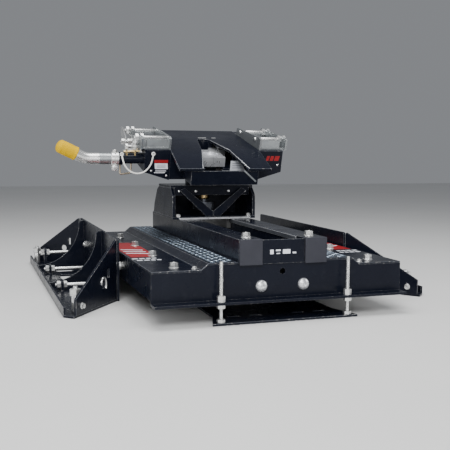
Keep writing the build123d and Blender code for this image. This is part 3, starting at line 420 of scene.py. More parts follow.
def yellow_vinyl():
    """Thick dipped vinyl: soft, slightly uneven and scuffed."""
    finish = Finish("yellow_vinyl", (0.80, 0.52, 0.0), 0.38)
    finish.put("Specular IOR Level", 0.05)
    base = finish.blend(finish.noise(34, detail=4), (0.72, 0.46, 0.0), (0.60, 0.36, 0.0))
    scuff = finish.span(finish.noise(120, detail=9), 0.62, 0.80, 0.0, 0.3)
    finish.colour(finish.blend(scuff, base, (0.34, 0.20, 0.0)))
    finish.rough(finish.noise(80, detail=6), 0.28, 0.52)
    finish.relief((finish.noise(55, detail=2), 0.0004), (finish.noise(420, detail=2), 0.00003))
    return finish.material


def wire_finish():
    """Yellow zinc on bent wire."""
    finish = Finish("wire", (0.55, 0.45, 0.34), 0.34, metallic=0.9)
    colours = (0.46, 0.36, 0.25), (0.66, 0.57, 0.45)
    return clouded(finish, (150, 5), colours, (200,), (0.25, 0.45), (900, 0.00002))


def white_coating():
    """Extruded white jacket, a little soiled."""
    finish = Finish("white_coating", (0.84, 0.84, 0.82), 0.34)
    colours = (0.88, 0.88, 0.86), (0.70, 0.69, 0.66)
    return clouded(finish, (90, 6), colours, (160,), (0.26, 0.42), (420, 0.00005))


def print_finish(name, first, second):
    """Screen print under a clear film."""
    finish = Finish(name, first, 0.35)
    finish.put("Specular IOR Level", 0.25)
    colours = first, second
    return clouded(finish, (110, 7), colours, (60, 5), (0.26, 0.48), (300, 0.00003))


FINISHES = {
    "black_paint": black_paint(),
    "tread_steel": tread_steel(),
    "charcoal_plastic": charcoal_plastic(),
    "zinc_plate": zinc_plate(),
    "bright_steel": bright_steel(),
    "cast_iron": cast_iron(),
    "nylon": nylon(),
    "bronze": bronze(),
    "yellow_vinyl": yellow_vinyl(),
    "wire": wire_finish(),
    "white_coating": white_coating(),
}
# edge finishes, painted lighter than their faces as highlights
EDGE_HIGHLIGHT_FINISHES = {"black_paint": paint_edge_chips_and_highlight(), "zinc_plate": zinc_edge_painted_highlight()}
RED_PRINT = print_finish("red_print", (0.34, 0.012, 0.014), (0.26, 0.010, 0.014))
WHITE_PRINT = print_finish("white_print", (0.86, 0.88, 0.93), (0.74, 0.76, 0.82))
GREY_PRINT = print_finish("grey_print", (0.20, 0.22, 0.28), (0.28, 0.30, 0.36))
ZINC_SHEET = zinc_sheet()
DARK_STEEL_AND_SHADE = dark_steel_and_shade()
SPECIAL = {
    "capture_bracket_left": ZINC_SHEET,
    "capture_bracket_right": ZINC_SHEET,
    "channel_guide_strips": DARK_STEEL_AND_SHADE,
    # the swivel post is painted dark as shade in the tower's recess
    "swivel_post": DARK_STEEL_AND_SHADE,
}


def finish_of(node):
    """The material of a CAD node: its slot's, unless it has its own."""
    return SPECIAL.get(node, FINISHES[SLOT_OF[node]])


# ---- mesh tools


def circle(radius, z, count=SIDES):
    """A ring of points round the local Z axis."""
    angles = [2 * pi * i / count for i in range(count)]
    return [Vector((radius * cos(angle), radius * sin(angle), z)) for angle in angles]


def hex_ring(across, z, slope=0.0):
    """A ring round a hexagon whose corners drop by the slope, as a turned chamfer cuts them."""
    half = across / 2
    ring = []
    for i in range(SIDES):
        angle = 2 * pi * i / SIDES
        off = (angle + pi / 6) % (pi / 3) - pi / 6
        radius = half / cos(off)
        ring.append(Vector((radius * cos(angle), radius * sin(angle), z - slope * (radius - half))))
    return ring


def upright(low, high, z=0.0):
    """A place on the vertical line through a box's middle."""
    return Matrix.Translation(((low.x + high.x) / 2, (low.y + high.y) / 2, z))


def metres(outline):
    """An outline given in millimetres."""
    return [(x * MM, y * MM) for x, y in outline]


def rectangle(x0, x1, y0, y1):
    """The corners of a rectangle."""
    return [(x0, y0), (x1, y0), (x1, y1), (x0, y1)]


def along(start, end):
    """A place at start whose local Z axis points to end."""
    aim = (Vector(end) - Vector(start)).normalized()
    return Matrix.Translation(start) @ aim.to_track_quat("Z", "Y").to_matrix().to_4x4()


def across_box(low, high, flip=False):
    """A place at one side of a box whose local Z axis runs through its middle along X."""
    y, z = (low.y + high.y) / 2, (low.z + high.z) / 2
    start, end = (high.x, low.x) if flip else (low.x, high.x)
    return along((start, y, z), (end, y, z))


class Build:
    """Gathers the parts of one piece, and makes it into an object that rides on a body."""

    def __init__(self):
        self.points = []
        self.faces = []

    def shell(self, rings, place=WORLD, loop=False):
        """Joins rings of equal length. Their ends are capped, or joined to each other in a loop."""
        start = len(self.points)
        count = len(rings[0])
        rows = len(rings)
        for ring in rings:
            self.points.extend(place @ point for point in ring)
        for row in range(rows if loop else rows - 1):
            low = start + row * count
            high = start + (row + 1) % rows * count
            for i in range(count):
                j = (i + 1) % count
                self.faces.append((low + i, low + j, high + j, high + i))
        if not loop:
            last = start + (rows - 1) * count
            self.faces.append(tuple(range(start + count - 1, start - 1, -1)))
            self.faces.append(tuple(range(last, last + count)))

    def lathe(self, profile, place=WORLD, loop=False, count=SIDES):
        """Turns a profile of (radius, z) pairs round the local Z axis."""
        self.shell([circle(radius, z, count) for radius, z in profile], place, loop)

    def slab(self, outline, low, high, place=WORLD, round_off=0.0):
        """A flat plate of an outline in local X and Y, with its top edge drawn in a little."""
        rings = [[Vector((x, y, z)) for x, y in outline] for z in (low, high - round_off)]
        if round_off:
            centre = sum((Vector((x, y, 0)) for x, y in outline), Vector()) / len(outline)
            top = []
            for x, y in outline:
                inward = (centre - Vector((x, y, 0))).normalized() * round_off
                top.append(Vector((x + inward.x, y + inward.y, high)))
            rings.append(top)
        self.shell(rings, place)

    def make(self, name, finish, body, slot, replaces=(), sharp=35):
        """The finished object, with smooth shading up to an angle."""
        mesh = bpy.data.meshes.new(name)
        mesh.from_pydata(self.points, [], self.faces)
        work = bmesh.new()
        work.from_mesh(mesh)
        bmesh.ops.recalc_face_normals(work, faces=work.faces)
        work.to_mesh(mesh)
        work.free()
        mesh.shade_smooth()
        mesh.set_sharp_from_angle(angle=radians(sharp))
        mesh.materials.append(finish)
        piece = placed(name, mesh)
        return settle(piece, body, replaces)


def plated(build, name, body, replaces=(), sharp=35):
    """Finishes a piece of bright plated hardware."""
    return build.make(name, FINISHES["zinc_plate"], body, "zinc_plate", replaces, sharp)


def settle(piece, body, replaces=()):
    """Puts a piece on its body, and hides the CAD nodes that it replaces."""
    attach(piece, body)
    if replaces:
        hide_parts(*replaces)
    return piece


def islands(node, into=WORLD):
    """The box of each separate solid of a CAD node, in the frame that the matrix leads to."""
    work = bmesh.new()
    work.from_mesh(frame["nodes"][node].data)
    bmesh.ops.remove_doubles(work, verts=work.verts, dist=1e-6)
    left = set(work.verts)
    boxes = []
    while left:
        stack = [left.pop()]
        found = []
        while stack:
            vert = stack.pop()
            found.append(into @ vert.co)
            for edge in vert.link_edges:
                other = edge.other_vert(vert)
                if other in left:
                    left.remove(other)
                    stack.append(other)
        low = Vector([min(point[i] for point in found) for i in range(3)])
        high = Vector([max(point[i] for point in found) for i in range(3)])
        boxes.append((low, high))
    work.free()
    return sorted(boxes, key=lambda pair: [round(value, 4) for value in pair[0]])


def eased(node, width):
    """A copy of a CAD node with its sheared or folded edges rounded, which replaces it."""
    mesh = frame["nodes"][node].data.copy()
    mesh.name = f"{node}_eased"
    work = bmesh.new()
    work.from_mesh(mesh)
    bmesh.ops.remove_doubles(work, verts=work.verts, dist=1e-6)
    bmesh.ops.dissolve_limit(
        work, angle_limit=radians(0.6), use_dissolve_boundaries=False, verts=work.verts, edges=work.edges
    )
    work.to_mesh(mesh)
    work.free()
    slot = SLOT_OF[node]
    mesh.materials.clear()
    mesh.materials.append(finish_of(node))
    # the bevelled edges take the edge finish, painted lighter than the faces as a highlight
    mesh.materials.append(EDGE_HIGHLIGHT_FINISHES.get(slot, FINISHES[slot]))
    mesh.polygons.foreach_set("material_index", [0] * len(mesh.polygons))
    mesh.shade_smooth()
    mesh.set_sharp_from_angle(angle=radians(30))
    piece = placed(f"{node}_eased", mesh)
    bevel = piece.modifiers.new("eased", "BEVEL")
    bevel.width = width * MM
    bevel.segments = 2
    bevel.limit_method = "ANGLE"
    bevel.angle_limit = radians(32)
    bevel.harden_normals = True
    bevel.material = 1
    return settle(piece, BODY_OF[node], [node])


def repaint(node):
    """Gives a CAD node whose shape is right its better material."""
    mesh = frame["nodes"][node].data
    mesh.materials.clear()
    mesh.materials.append(finish_of(node))


# ---- fasteners


def thread(build, radius, z0, z1, pitch, place, count=20, samples=6):
    """A threaded stretch of rod with a helical groove, run out at both ends."""
    depth = pitch * 0.5
    steps = ceil((z1 - z0) / pitch * samples)
    rings = []
    for step in range(steps + 1):
        z = z0 + (z1 - z0) * step / steps
        lead = min(1.0, (z1 - z) / pitch, (z - z0) / pitch)
        ring = []
        for i in range(count):
            wave = abs((z / pitch - i / count) % 1.0 * 2 - 1)
            r = radius - depth * wave * lead - (1 - lead) * depth * 0.6
            ring.append(Vector((r * cos(2 * pi * i / count), r * sin(2 * pi * i / count), z)))
        rings.append(ring)
    build.shell(rings, place)


def nut(build, across, z0, z1, hole, place):
    """A hexagon nut, turned down at both faces and opened at its hole."""
    face = across / 2 * 0.94
    mouth = hole + 0.8 * MM
    rings = [
        circle(hole, z0 + 0.8 * MM),
        circle(mouth, z0),
        circle(face, z0),
        hex_ring(across, z0 + 0.3 * MM, -0.55),
        hex_ring(across, z1 - 0.3 * MM, 0.55),
        circle(face, z1),
        circle(mouth, z1),
        circle(hole, z1 - 0.8 * MM),
    ]
    build.shell(rings, place, loop=True)


def hex_head(build, across, z0, z1, place):
    """A bolt's head: a hexagon turned down on top, with a shallow forged dish."""
    half = across / 2
    rings = [
        hex_ring(across, z0),
        hex_ring(across, z1 - 0.3 * MM, 0.55),
        circle(half * 0.92, z1),
        circle(half * 0.62, z1),
        circle(half * 0.54, z1 - 0.7 * MM),
    ]
    build.shell(rings, place)


def washer(build, radius, hole, z0, z1, place):
    """A flat washer with its rounded upper edge."""
    edge = 0.5 * MM
    profile = [(hole, z0), (radius, z0), (radius, z1 - edge), (radius - edge, z1), (hole, z1)]
    build.lathe(profile, place, loop=True)


def bolt(build, radius, hole, thick, across, top, place):
    """A hex head that stands on a washer."""
    washer(build, radius, hole, 0, thick, place)
    hex_head(build, across, thick, top, place)


def washered(build, radius, top, place):
    """A hex head in proportion to its washer."""
    bolt(build, radius, radius * 0.4, WASHER_THICK, radius / 0.68, top, place)


def bolts_on_deck():
    """The hex bolts and washers on the decks and rails."""
    build = Build()
    for low, high in islands("deck_hex_bolts"):
        washered(build, (high.x - low.x) / 2, high.z - low.z, upright(low, high, low.z))
    plated(build, "deck_bolt_heads", "platform", ["deck_hex_bolts"])


def rods_of_clamp():
    """The two long threaded rods through the platform's lip."""
    build = Build()
    for low, high in islands("clamp_rods"):
        thread(build, (high.x - low.x) / 2, low.z, high.z, 1.75 * MM, upright(low, high))
    plated(build, "clamp_threaded_rods", "platform", ["clamp_rods"], 60)
    build = Build()
    for low, high in islands("clamp_rod_nuts"):
        across = min(high.x - low.x, high.y - low.y)
        nut(build, across, low.z, high.z, across * 0.255, upright(low, high))
    plated(build, "clamp_hex_nuts", "platform", ["clamp_rod_nuts"])


def button_bolts():
    """The two round-headed bolts on the rear face, each with its nut inside."""
    build = Build()
    setback = 12 * MM
    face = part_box("channel_floor")[0].y - setback
    for low, high in islands("button_head_bolts"):
        x, z = (low.x + high.x) / 2, (low.z + high.z) / 2
        place = along((x, face, z), (x, face - 1, z))
        radius, height, lip = 19.5 * MM, face - low.y, 1.2 * MM
        dome = [(radius, 0), (radius, lip)]
        for i in range(1, 9):
            angle = i * pi / 20
            dome.append((radius * cos(angle), lip + (height - lip) * sin(angle)))
        dome += [(6.0 * MM, height - 0.6 * MM), (5.2 * MM, height - 1.2 * MM), (4.8 * MM, height - 4.0 * MM)]
        build.lathe(dome, place)
        build.lathe([(9 * MM, -34 * MM), (9 * MM, 0)], place)
        nut(build, 28 * MM, -24 * MM, -10 * MM, 8.8 * MM, place)
    build.make("round_head_bolts", FINISHES["bright_steel"], "platform", "zinc_plate", ["button_head_bolts"])


def rods_of_brackets():
    """The brackets' tie rods, threaded at both ends, their nuts, and the tall corner bolts."""
    rods = Build()
    for low, high in islands("bracket_tie_rods"):
        place = across_box(low, high)
        radius, length = (high.z - low.z) / 2, high.x - low.x
        left, right = THREADED_END, length - THREADED_END
        thread(rods, radius, 0, left, ROD_PITCH, place)
        thread(rods, radius, right, length, ROD_PITCH, place)
        neck = radius * 0.96
        rods.lathe([(neck, left - MM), (radius, left + MM), (radius, right - MM), (neck, right + MM)], place)
    plated(rods, "tie_rods_threaded", "platform", ["bracket_tie_rods"], 60)
    nuts = Build()
    for low, high in islands("bracket_tie_rod_nuts"):
        across = min(high.y - low.y, high.z - low.z)
        nut(nuts, across, 0, high.x - low.x, across * 0.27, across_box(low, high))
    plated(nuts, "tie_rod_hex_nuts", "platform", ["bracket_tie_rod_nuts"])
    bolts = Build()
    for low, high in islands("bracket_corner_bolts"):
        across = min(high.x - low.x, high.y - low.y)
        place = upright(low, high)
        under, over = high.z - 30 * MM, high.z - 8 * MM
        seat = under + 3 * MM
        thread(bolts, 8 * MM, low.z, high.z, ROD_PITCH, place)
        nut(bolts, across, seat, over, 7.8 * MM, place)
        washer(bolts, across * 0.5, 8 * MM, under, seat, place)
        bore, rim, wall = 8.4 * MM, 12.5 * MM, 13 * MM
        spacer = [(bore, low.z), (rim, low.z), (wall, low.z + MM)]
        spacer += [(wall, under - MM), (rim, under), (bore, under)]
        bolts.lathe(spacer, place, loop=True)
    plated(bolts, "corner_bolt_stacks", "platform", ["bracket_corner_bolts"])


def bolts_of_tower():
    """The small round heads on the apron and the hex heads on the sole plate."""
    build = Build()
    for low, high in islands("tower_bolts"):
        centre = (low + high) / 2
        if high.y - low.y < 8 * MM:
            place = along((centre.x, high.y, centre.z), (centre.x, low.y, centre.z))
            radius, tall = (high.x - low.x) / 2, high.y - low.y
            button = [(radius, 0), (radius, tall * 0.4), (radius * 0.8, tall * 0.85), (radius * 0.35, tall)]
            build.lathe(button, place)
        else:
            foot = Matrix.Translation((centre.x, centre.y, low.z))
            washered(build, (high.x - low.x) / 2, high.z - low.z, foot)
    plated(build, "tower_bolt_heads", "carriage", ["tower_bolts"])


def rods_of_capture():
    """The capture brackets' cross rods with threaded outer ends, and their nuts."""
    back = HEAD.inverted()
    rods = Build()
    for low, high in islands("capture_rods", back):
        place = HEAD @ across_box(low, high, flip=high.x <= 0)
        radius, length = (high.z - low.z) / 2, high.x - low.x
        plain = length - THREADED_END
        rods.lathe([(radius * 0.9, 0), (radius, MM), (radius, plain)], place)
        thread(rods, radius, plain - MM, length, ROD_PITCH, place)
    plated(rods, "capture_cross_rods", "head", ["capture_rods"], 60)
    nuts = Build()
    for low, high in islands("capture_rod_nuts", back):
        across = min(high.y - low.y, high.z - low.z)
        nut(nuts, across, 0, high.x - low.x, across * 0.285, HEAD @ across_box(low, high))
    plated(nuts, "capture_hex_nuts", "head", ["capture_rod_nuts"])


# ---- platform details


def tread_plates():
    """The bright strips, with raised lozenges that lean left and right by turns."""
    build = Build()
    pitch = 21.0 * MM
    for low, high in islands("tread_strips"):
        base = low.z + TREAD_SKIN
        build.slab(rectangle(low.x, high.x, low.y, high.y), low.z, base)
        rows = int((high.y - low.y) / pitch) - 1
        columns = int((high.x - low.x) / pitch)
        for row in range(rows):
            for column in range(columns):
                x = (low.x + high.x) / 2 + (column - (columns - 1) / 2) * pitch
                y = low.y + (row + 1) * pitch
                lean = radians(45) if (row + column) % 2 else radians(-45)
                place = Matrix.Translation((x, y, 0)) @ Matrix.Rotation(lean, 4, "Z")
                lozenge(build, base, high.z + 0.3 * MM, place)
    finish = FINISHES["tread_steel"]
    build.make("tread_diamond_strips", finish, "platform", "tread_steel", ["tread_strips"], 50)


def lozenge(build, low, high, place):
    """One raised bar of the tread, pointed at both ends."""
    rings = []
    for grow, z in ((1.0, low), (0.82, low + (high - low) * 0.7), (0.4, high)):
        long, wide = 12.6 * MM * grow, 3.9 * MM * grow
        corners = [(long, 0), (long * 0.5, wide * 0.8), (0, wide), (-long * 0.5, wide * 0.8)]
        ring = [Vector((x, y, z)) for x, y in corners]
        ring += [Vector((-x, -y, z)) for x, y in corners]
        rings.append(ring)
    build.shell(rings, place)


def bead(build, start, end, size, up):
    """A weld bead along a straight joint, with the ripples of its passes."""
    run = Vector(end) - Vector(start)
    steps = max(6, ceil(run.length / (2.2 * MM)))
    side = run.normalized().cross(Vector(up)).normalized()
    rings = []
    for step in range(steps + 1):
        t = step / steps
        swell = 1.0 if step % 2 else 0.86
        ends = min(1.0, 0.35 + 6.0 * min(t, 1 - t) * run.length / (60 * MM))
        radius = size * swell * ends
        centre = Vector(start) + run * t
        ring = []
        for i in range(8):
            angle = 2 * pi * i / 8
            ring.append(centre + (side * cos(angle) + Vector(up) * sin(angle)) * radius)
        rings.append(ring)
    build.shell(rings)


def gusset_clips():
    """A bent spring clip over the round hole in each bracket's rear gusset, and a bolt near its tip."""
    build = Build()
    clip_along, bolt_along = 0.36, 0.86  # shares of the way out from the inner plate
    clip_height, bolt_height = 78 * MM, 34 * MM
    wire = 3.2 * MM
    for name, side in (("left", -1), ("right", 1)):
        low, high = min(islands(f"bracket_gussets_{name}"), key=lambda box: box[0].y)
        inner, outer = (low.x, high.x) if side > 0 else (high.x, low.x)
        start, end = Vector((inner, high.y, clip_height)), Vector((outer, low.y, clip_height))
        seat = start.lerp(end, clip_along)
        face = Vector((-side * (high.y - low.y), low.x - high.x, 0)).normalized()
        place = along(seat + face * 6 * MM, seat + face)
        rings = []
        for step in range(25):
            angle = radians(-40 + step * 9)
            centre = Vector((18 * MM * cos(angle), 24 * MM * sin(angle), 0))
            out = Vector((cos(angle), sin(angle), 0))
            turns = [i * pi / 5 for i in range(10)]
            rings.append([centre + (out * cos(a) + Vector((0, 0, 1)) * sin(a)) * wire for a in turns])
        build.shell(rings, place)
        base = start.lerp(end, bolt_along)
        base.z = bolt_height
        place = along(base + face * 4 * MM, base + face)
        bolt(build, 11 * MM, 5 * MM, WASHER_THICK, 16 * MM, 10 * MM, place)
    plated(build, "gusset_clips_and_bolts", "platform")


def platform_welds():
    """Stitch welds along the rails, corner welds on the platform and fillets on the brackets."""
    build = Build()
    up = (0, 0, 1)
    for name, side in (("rail_left", -1), ("rail_right", 1)):
        low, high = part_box(name)
        x = (low.x if side < 0 else high.x) + side * 0.6 * MM
        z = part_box("tread_strips")[0].z
        for i in range(6):
            y = low.y + 0.06 + i * 0.19
            bead(build, (x, y, z), (x, y + 0.06, z), 3.0 * MM, up)
    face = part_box("rear_crossmember")
    for side in (-1, 1):
        x = side * face[1].x
        bottom, top = face[0].z + 14 * MM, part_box("deck_panels")[0].z - 2 * MM
        bead(build, (x, 10 * MM, bottom), (x, 10 * MM, top), 1.6 * MM, (0, 1, 0))
    for name, side in (("left", -1), ("right", 1)):
        low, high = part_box(f"bracket_inner_plate_{name}")
        x = low.x if side < 0 else high.x
        foot = FOOT_THICK
        for i in range(5):
            y = low.y + 0.03 + i * 0.18
            bead(build, (x, y, foot), (x, y + 0.09, foot), 4.0 * MM, up)
        for gusset_low, gusset_high in islands(f"bracket_gussets_{name}"):
            y = (gusset_low.y + gusset_high.y) / 2
            if gusset_high.y - gusset_low.y < 20 * MM:
                for dy in (-4.5 * MM, 4.5 * MM):
                    bead(build, (x, y + dy, foot), (x, y + dy, 0.17), 3.0 * MM, (0, 1, 0))
    build.make("platform_weld_beads", FINISHES["black_paint"], "platform", "black_paint", sharp=80)


def carriage_welds():
    """Fillets where the tower meets the sole plate."""
    build = Build()
    for low, high in islands("tower_side_plates"):
        side = 1 if high.x > 0 else -1
        x = low.x if side > 0 else high.x
        bead(build, (x, low.y + 0.02, low.z), (x, high.y - 0.02, low.z), 3.4 * MM, (0, 0, 1))
    low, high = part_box("tower_web")
    bead(build, (low.x + 0.02, low.y, low.z), (high.x - 0.02, low.y, low.z), 3.4 * MM, (0, 0, 1))
    build.make("carriage_weld_beads", FINISHES["black_paint"], "carriage", "black_paint", sharp=80)


def deck_graphics():
    """A plain red flash on each deck, crossed by pale stripes, with rows of pale blocks behind it."""
    red, pale = Build(), Build()
    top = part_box("platform_end_plates")[1].z + DECK_THICK
    flash = [(0.422, 0.33), (0.427, 0.50), (0.420, 0.64), (0.400, 0.74)]
    flash += [(0.345, 0.74), (0.326, 0.60), (0.330, 0.44), (0.356, 0.33)]
    blocks = [(0.408, 0.427), (0.384, 0.402), (0.364, 0.378), (0.344, 0.358)]
    for side in (-1, 1):
        red.slab(mirrored(side, flash), top - 0.1 * MM, top + 0.3 * MM)
        for y in (0.40, 0.45, 0.50):
            stripe = [(0.342, y), (0.418, y + 0.03), (0.418, y + 0.044), (0.342, y + 0.014)]
            pale.slab(mirrored(side, stripe), top + 0.2 * MM, top + 0.5 * MM)
        for row, y in enumerate((0.285, 0.245)):
            for x0, x1 in blocks:
                shift = row * 0.008
                block = mirrored(side, rectangle(x0 - shift, x1 - shift, y, y + 0.016))
                pale.slab(block, top - 0.1 * MM, top + 0.3 * MM)
    red.make("deck_red_flashes", RED_PRINT, "platform", "black_paint")
    pale.make("deck_pale_bars", WHITE_PRINT, "platform", "black_paint")


def mirrored(side, outline):
    """An outline on the right or, mirrored, on the left, which keeps its winding."""
    points = [(side * x, y) for x, y in outline]
    return points if side > 0 else points[::-1]


def channel_label():
    """Small pale bars on the plate between the rail caps."""
    build = Build()
    low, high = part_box("channel_end_plate")
    middle = Matrix.Translation(((low.x + high.x) / 2, low.y, (low.z + high.z) / 2))
    bars = ((-46, -34, -8, 6), (-26, -10, 1, 6), (-2, 24, -8, 6), (32, 44, -8, -3), (-24, -12, -8, -5))
    for bar in bars:
        build.slab(metres(rectangle(*bar)), FILM_LOW, 0.4 * MM, middle @ Matrix.Rotation(pi / 2, 4, "X"))
    build.make("channel_plate_bars", WHITE_PRINT, "platform", "black_paint")


# ---- head details


def facing_back(y):
    """A place in the head's middle plane whose local Z axis looks rearwards."""
    return HEAD @ Matrix.Translation((0, y * MM, 0)) @ Matrix.Rotation(pi / 2, 4, "X")


def face_plate(build, x0, x1, z0, z1, y, lean=0.0):
    """A thin label that stands on a face of the head that looks rearwards."""
    outline = [(x0 + lean, z0), (x1 + lean, z0), (x1, z1), (x0, z1)]
    build.slab(metres(outline), FILM_LOW, FILM_HIGH, facing_back(y))


def head_labels():
    """A plain red and white label, a row of slanted red bars, and a pale plate in the throat."""
    red, pale, ink = Build(), Build(), Build()
    face_plate(red, -252, -196, -52, -40, SHELL_FACE)
    face_plate(pale, -250, -198, -77, -54, SHELL_FACE, lean=3)
    for i in range(3):
        face_plate(ink, -240, -206, -61 - i * 5, -59 - i * 5, SHELL_FACE - 0.5)
    face_plate(pale, -246, -202, -86, -83, SHELL_FACE)
    face_plate(pale, -250, -206, -93, -90, SHELL_FACE)
    for x, width in ((222, 12), (239, 14), (258, 20)):
        face_plate(red, x, x + width, -42, -22, SHELL_FACE, lean=-5)
    plate = [(64, -86), (132, -86), (108, -42), (64, -42)]
    pale.slab(metres(plate), FILM_LOW, 0.6 * MM, facing_back(WEB_FACE))
    for i in range(3):
        face_plate(ink, 72, 104 + i * 5, -54 - i * 9, -52 - i * 9, WEB_FACE - 0.7)
    red.make("head_red_marks", RED_PRINT, "head", "black_paint")
    pale.make("head_pale_labels", WHITE_PRINT, "head", "white_coating")
    ink.make("head_label_lines", GREY_PRINT, "head", "black_paint")


def head_hardware():
    """Small screws on the shells, bright lines along the throat's edges as painted highlights, two thin
    bright strips on the top plate, and the skirt's brace in grey as a painted edge highlight.
    """
    screws = Build()
    for x, z in ((-262, -84), (-200, -104), (270, -60), (-172, -36), (172, -36)):
        place = HEAD @ along(Vector((x, SHELL_FACE, z)) * MM, Vector((x, SHELL_FACE - 10, z)) * MM)
        screws.lathe(metres([(4.6, 0), (4.6, 1.2), (3.2, 2.6), (1.2, 3.0)]), place, count=24)
    # two thin bright plated strips on the top plate past the kingpin seat
    for x in (-13, 47):
        width = 36 if x < 0 else 18
        screws.slab(metres(rectangle(x, x + width, 40, 48)), FILM_LOW, 1.0 * MM, HEAD, 0.3 * MM)
    plated(screws, "head_bright_fixings", "head")
    # painted highlights: thin bright steel lines along the throat's edges
    edges = Build()
    ramp_slope = 36.0 / 150.0
    for side in (-1, 1):
        knee = head_point(side * 58.4, -165, 0)
        seat = head_point(side * 27.6, 0, 0)
        mouth = head_point(side * 94.5, -313, -148 * ramp_slope)
        bead_line(edges, knee, mouth, 1.0 * MM)
        if side > 0:
            bead_line(edges, seat, knee, 1.0 * MM)
    edges.make("throat_edge_painted_highlights", FINISHES["bright_steel"], "head", "bright_steel")
    # the brace is black like the skirt; its grey plated sheet is a painted highlight along its edge
    brace = Build()
    brace.slab(metres(rectangle(0, 70, -3, 3)), 0, 3 * MM, brace_place())
    brace.make("skirt_brace_painted_edge_highlight", ZINC_SHEET, "head", "zinc_plate")


def brace_place():
    """The slanted brace's place on the rear face of the skirt."""
    low, high = islands("head_skirt", HEAD.inverted())[0]
    corner = Vector((high.x - 62 * MM, low.y, (low.z + high.z) / 2 + 14 * MM))
    turn = Matrix.Rotation(pi / 2, 4, "X") @ Matrix.Rotation(radians(-40), 4, "Z")
    return HEAD @ Matrix.Translation(corner) @ turn


def bead_line(build, start, end, radius):
    """A plain round line between two points, rounded at its ends."""
    length = (Vector(end) - Vector(start)).length
    profile = [(radius * 0.4, 0), (radius, radius), (radius, length - radius), (radius * 0.4, length)]
    build.lathe(profile, along(start, end), count=16)


def capture_fixings():
    """Bolts that hold each capture bracket's foot to the head."""
    build = Build()
    for side in (-1, 1):
        for y in (-128, -30, 96):
            foot = in_head(side * 250, y, 6)
            bolt(build, 11 * MM, 5 * MM, 2 * MM, 16 * MM, 10 * MM, foot)
    plated(build, "capture_foot_bolts", "head")


def handle_hardware():
    """The latch over the stub: its bracket and side plates, their cross bolts and a stacked post."""
    build = Build()
    place = in_head(0, STUB_Y + 20, STUB_Z + 24)
    outline = [(-364, -14), (-291, -18), (-291, 26), (-338, 26), (-364, 8)]
    build.slab(metres(outline), 0, LATCH_THICK, place, LATCH_EDGE)
    corner = in_head(-298, STUB_Y + 6, STUB_Z + 28)
    wall = [(0, -18), (44, -18), (52, 0), (52, 44), (0, 44)]
    build.slab(metres(wall), 0, LATCH_THICK, corner @ Matrix.Rotation(-pi / 2, 4, "Y"), LATCH_EDGE)
    hanger = Build()
    for x, outline in (
        (-311, [(-96, -36), (60, -30), (84, 4), (70, 12), (-96, 12)]),
        (-337, [(-14, -30), (44, -30), (84, 6), (84, 34), (58, 38), (-14, 12)]),
    ):
        side = HEAD @ Matrix.Translation((x * MM, 0, 0)) @ Matrix(((0, 0, 1), (1, 0, 0), (0, 1, 0))).to_4x4()
        hanger.slab(metres(outline), 0, LATCH_THICK, side, LATCH_EDGE)
    plated(hanger, "latch_side_plates", "head")
    for y in (22, -62):
        axle = HEAD @ along(Vector((-306, y, -14)) * MM, Vector((-400, y, -14)) * MM)
        build.lathe([(6 * MM, 0), (6 * MM, 36 * MM)], axle, count=24)
        nut(build, 20 * MM, 6 * MM, 15 * MM, 6 * MM, axle)
        hex_head(build, 20 * MM, 31 * MM, 40 * MM, axle)
    post = in_head(-318, -118, -22)
    thread(build, 7 * MM, 0, 52 * MM, ROD_PITCH, post)
    for z in (6, 20, 36):
        nut(build, 24 * MM, z * MM, (z + 11) * MM, 7 * MM, post)
    foot = place @ Matrix.Translation(Vector((-350, 0, 5)) * MM)
    bolt(build, 9 * MM, 4 * MM, 2 * MM, 13 * MM, 10 * MM, foot)
    plated(build, "latch_bracket", "head")


def split_collar():
    """The split ring that clamps the handle to the pull bar, its lugs and bolts, and a plated sleeve."""
    low, high = islands("handle_collar", HEAD.inverted())[0]
    x0, x1 = low.x, high.x
    build = Build()
    centre = Vector((x0, STUB_Y * MM, STUB_Z * MM))
    place = HEAD @ along(centre, centre + Vector((1, 0, 0)))
    wide = x1 - x0
    bore, rim, groove, outside = 15 * MM, 24 * MM, 24.6 * MM, 26 * MM
    ring = [(bore, 0), (rim, 0), (outside, 2 * MM), (outside, wide * 0.42), (groove, wide * 0.46)]
    ring += [(groove, wide * 0.54), (outside, wide * 0.58), (outside, wide - 2 * MM)]
    ring += [(rim, wide), (bore, wide)]
    build.lathe(ring, place, loop=True)
    middle = (x0 + x1) / 2
    for side in (-1, 1):
        lug = HEAD @ Matrix.Translation((middle, (STUB_Y + side * 8.5) * MM, (STUB_Z - 33) * MM))
        points = [(-10, -13), (10, -13), (12, -8), (12, 14), (-12, 14), (-12, -8)]
        build.slab(metres(points), -5.5 * MM, 5.5 * MM, lug @ Matrix.Rotation(pi / 2, 4, "X"))
    pinch = Vector((middle, (STUB_Y - 14) * MM, (STUB_Z - 34) * MM))
    hex_head(build, 18 * MM, 0, 10 * MM, HEAD @ along(pinch, pinch + Vector((0, -1, 0))))
    back = Vector((middle, (STUB_Y + 14) * MM, (STUB_Z - 34) * MM))
    hex_head(build, 18 * MM, 0, 9 * MM, HEAD @ along(back, back + Vector((0, 1, 0))))
    crown = HEAD @ Matrix.Translation((middle, STUB_Y * MM, (STUB_Z + 25) * MM))
    bolt(build, 11 * MM, 4 * MM, 2 * MM, 17 * MM, 10 * MM, crown)
    plated(build, "split_clamp_collar", "handle", ["handle_collar"])
    sleeve = Build()
    start = Vector((x0 - 46 * MM, STUB_Y * MM, STUB_Z * MM))
    wall = metres([(22.1, 0), (22.9, 0.6), (22.9, 45), (22.1, 45.6)])
    sleeve.lathe(wall, HEAD @ along(start, start + Vector((1, 0, 0))), loop=True)
    sleeve.make("handle_plated_sleeve", ZINC_SHEET, "handle", "zinc_plate")


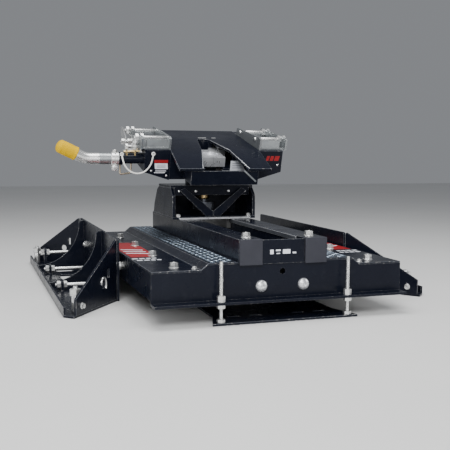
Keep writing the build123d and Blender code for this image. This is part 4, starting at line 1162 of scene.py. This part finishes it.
def vinyl_grip():
    """The dipped grip: a thick lip at its mouth, a soft swell and a domed end."""
    box = islands("handle_grip", HEAD.inverted())[0]
    rise = Vector((-104.0, 0.0, 50.0)).normalized()
    tip = Vector((-616.0, STUB_Y, STUB_Z + 50)) * MM
    length = 82 * MM
    start = tip - rise * (length - 8 * MM)
    radius = (box[1].y - box[0].y) / 2
    lip, dome = 8 * MM, 16 * MM
    profile = [(22.2 * MM, 1.0 * MM), (radius * 0.94, 0), (radius, 1.5 * MM), (radius, 5 * MM)]
    profile.append((radius * 0.95, lip))
    for i in range(1, 9):
        t = i / 9
        profile.append((radius * (0.945 + 0.035 * sin(pi * t)), lip + t * (length - lip - dome)))
    for i in range(0, 9):
        a = i * pi / 18
        profile.append((radius * 0.945 * cos(a) + 0.2 * MM, length - dome + dome * sin(a)))
    grip = Build()
    grip.lathe(profile, HEAD @ along(start, start + rise))
    grip.make("dipped_vinyl_grip", FINISHES["yellow_vinyl"], "handle", "yellow_vinyl", ["handle_grip"], 60)


def tether():
    """The white coated cable that hangs between the stub's ring and the shell, with its eyes."""
    data = bpy.data.curves.new("tether_wire_rope", "CURVE")
    data.dimensions = "3D"
    data.bevel_depth = CABLE_DIAMETER / 2
    data.bevel_resolution = 5
    data.resolution_u = 16
    data.use_fill_caps = True
    spline = data.splines.new("NURBS")
    spline.points.add(len(CABLE_ROUTE) - 1)
    for point, place in zip(spline.points, CABLE_ROUTE):
        point.co = (*head_point(*place), 1.0)
    spline.order_u = 3
    spline.use_endpoint_u = True
    data.materials.append(FINISHES["white_coating"])
    rope = placed("tether_wire_rope", data)
    settle(rope, "head", ["tether_cable"])
    eyes = Build()
    for place in (CABLE_ROUTE[0], CABLE_ROUTE[-1]):
        centre = Vector(place) * MM
        turn = HEAD @ along(centre + Vector((0, 2.5 * MM, 0)), centre + Vector((0, -10 * MM, 0)))
        eyes.lathe(metres([(3.6, 0), (7, 0), (8, 1.4), (7, 5), (3.6, 5)]), turn, loop=True)
    fittings = eyes.make("tether_eyes", FINISHES["white_coating"], "head", "white_coating")


# ---- assembly

make_camera()
tether()
make_studio()
for node in HEAVY_PLATES:
    eased(node, HEAVY_EASE)
for node in LIGHT_PLATES:
    eased(node, LIGHT_EASE)
bolts_on_deck()
rods_of_clamp()
button_bolts()
rods_of_brackets()
bolts_of_tower()
rods_of_capture()
tread_plates()
platform_welds()
carriage_welds()
deck_graphics()
channel_label()
gusset_clips()
head_labels()
head_hardware()
capture_fixings()
handle_hardware()
split_collar()
vinyl_grip()
for node in frame["nodes"]:
    repaint(node)
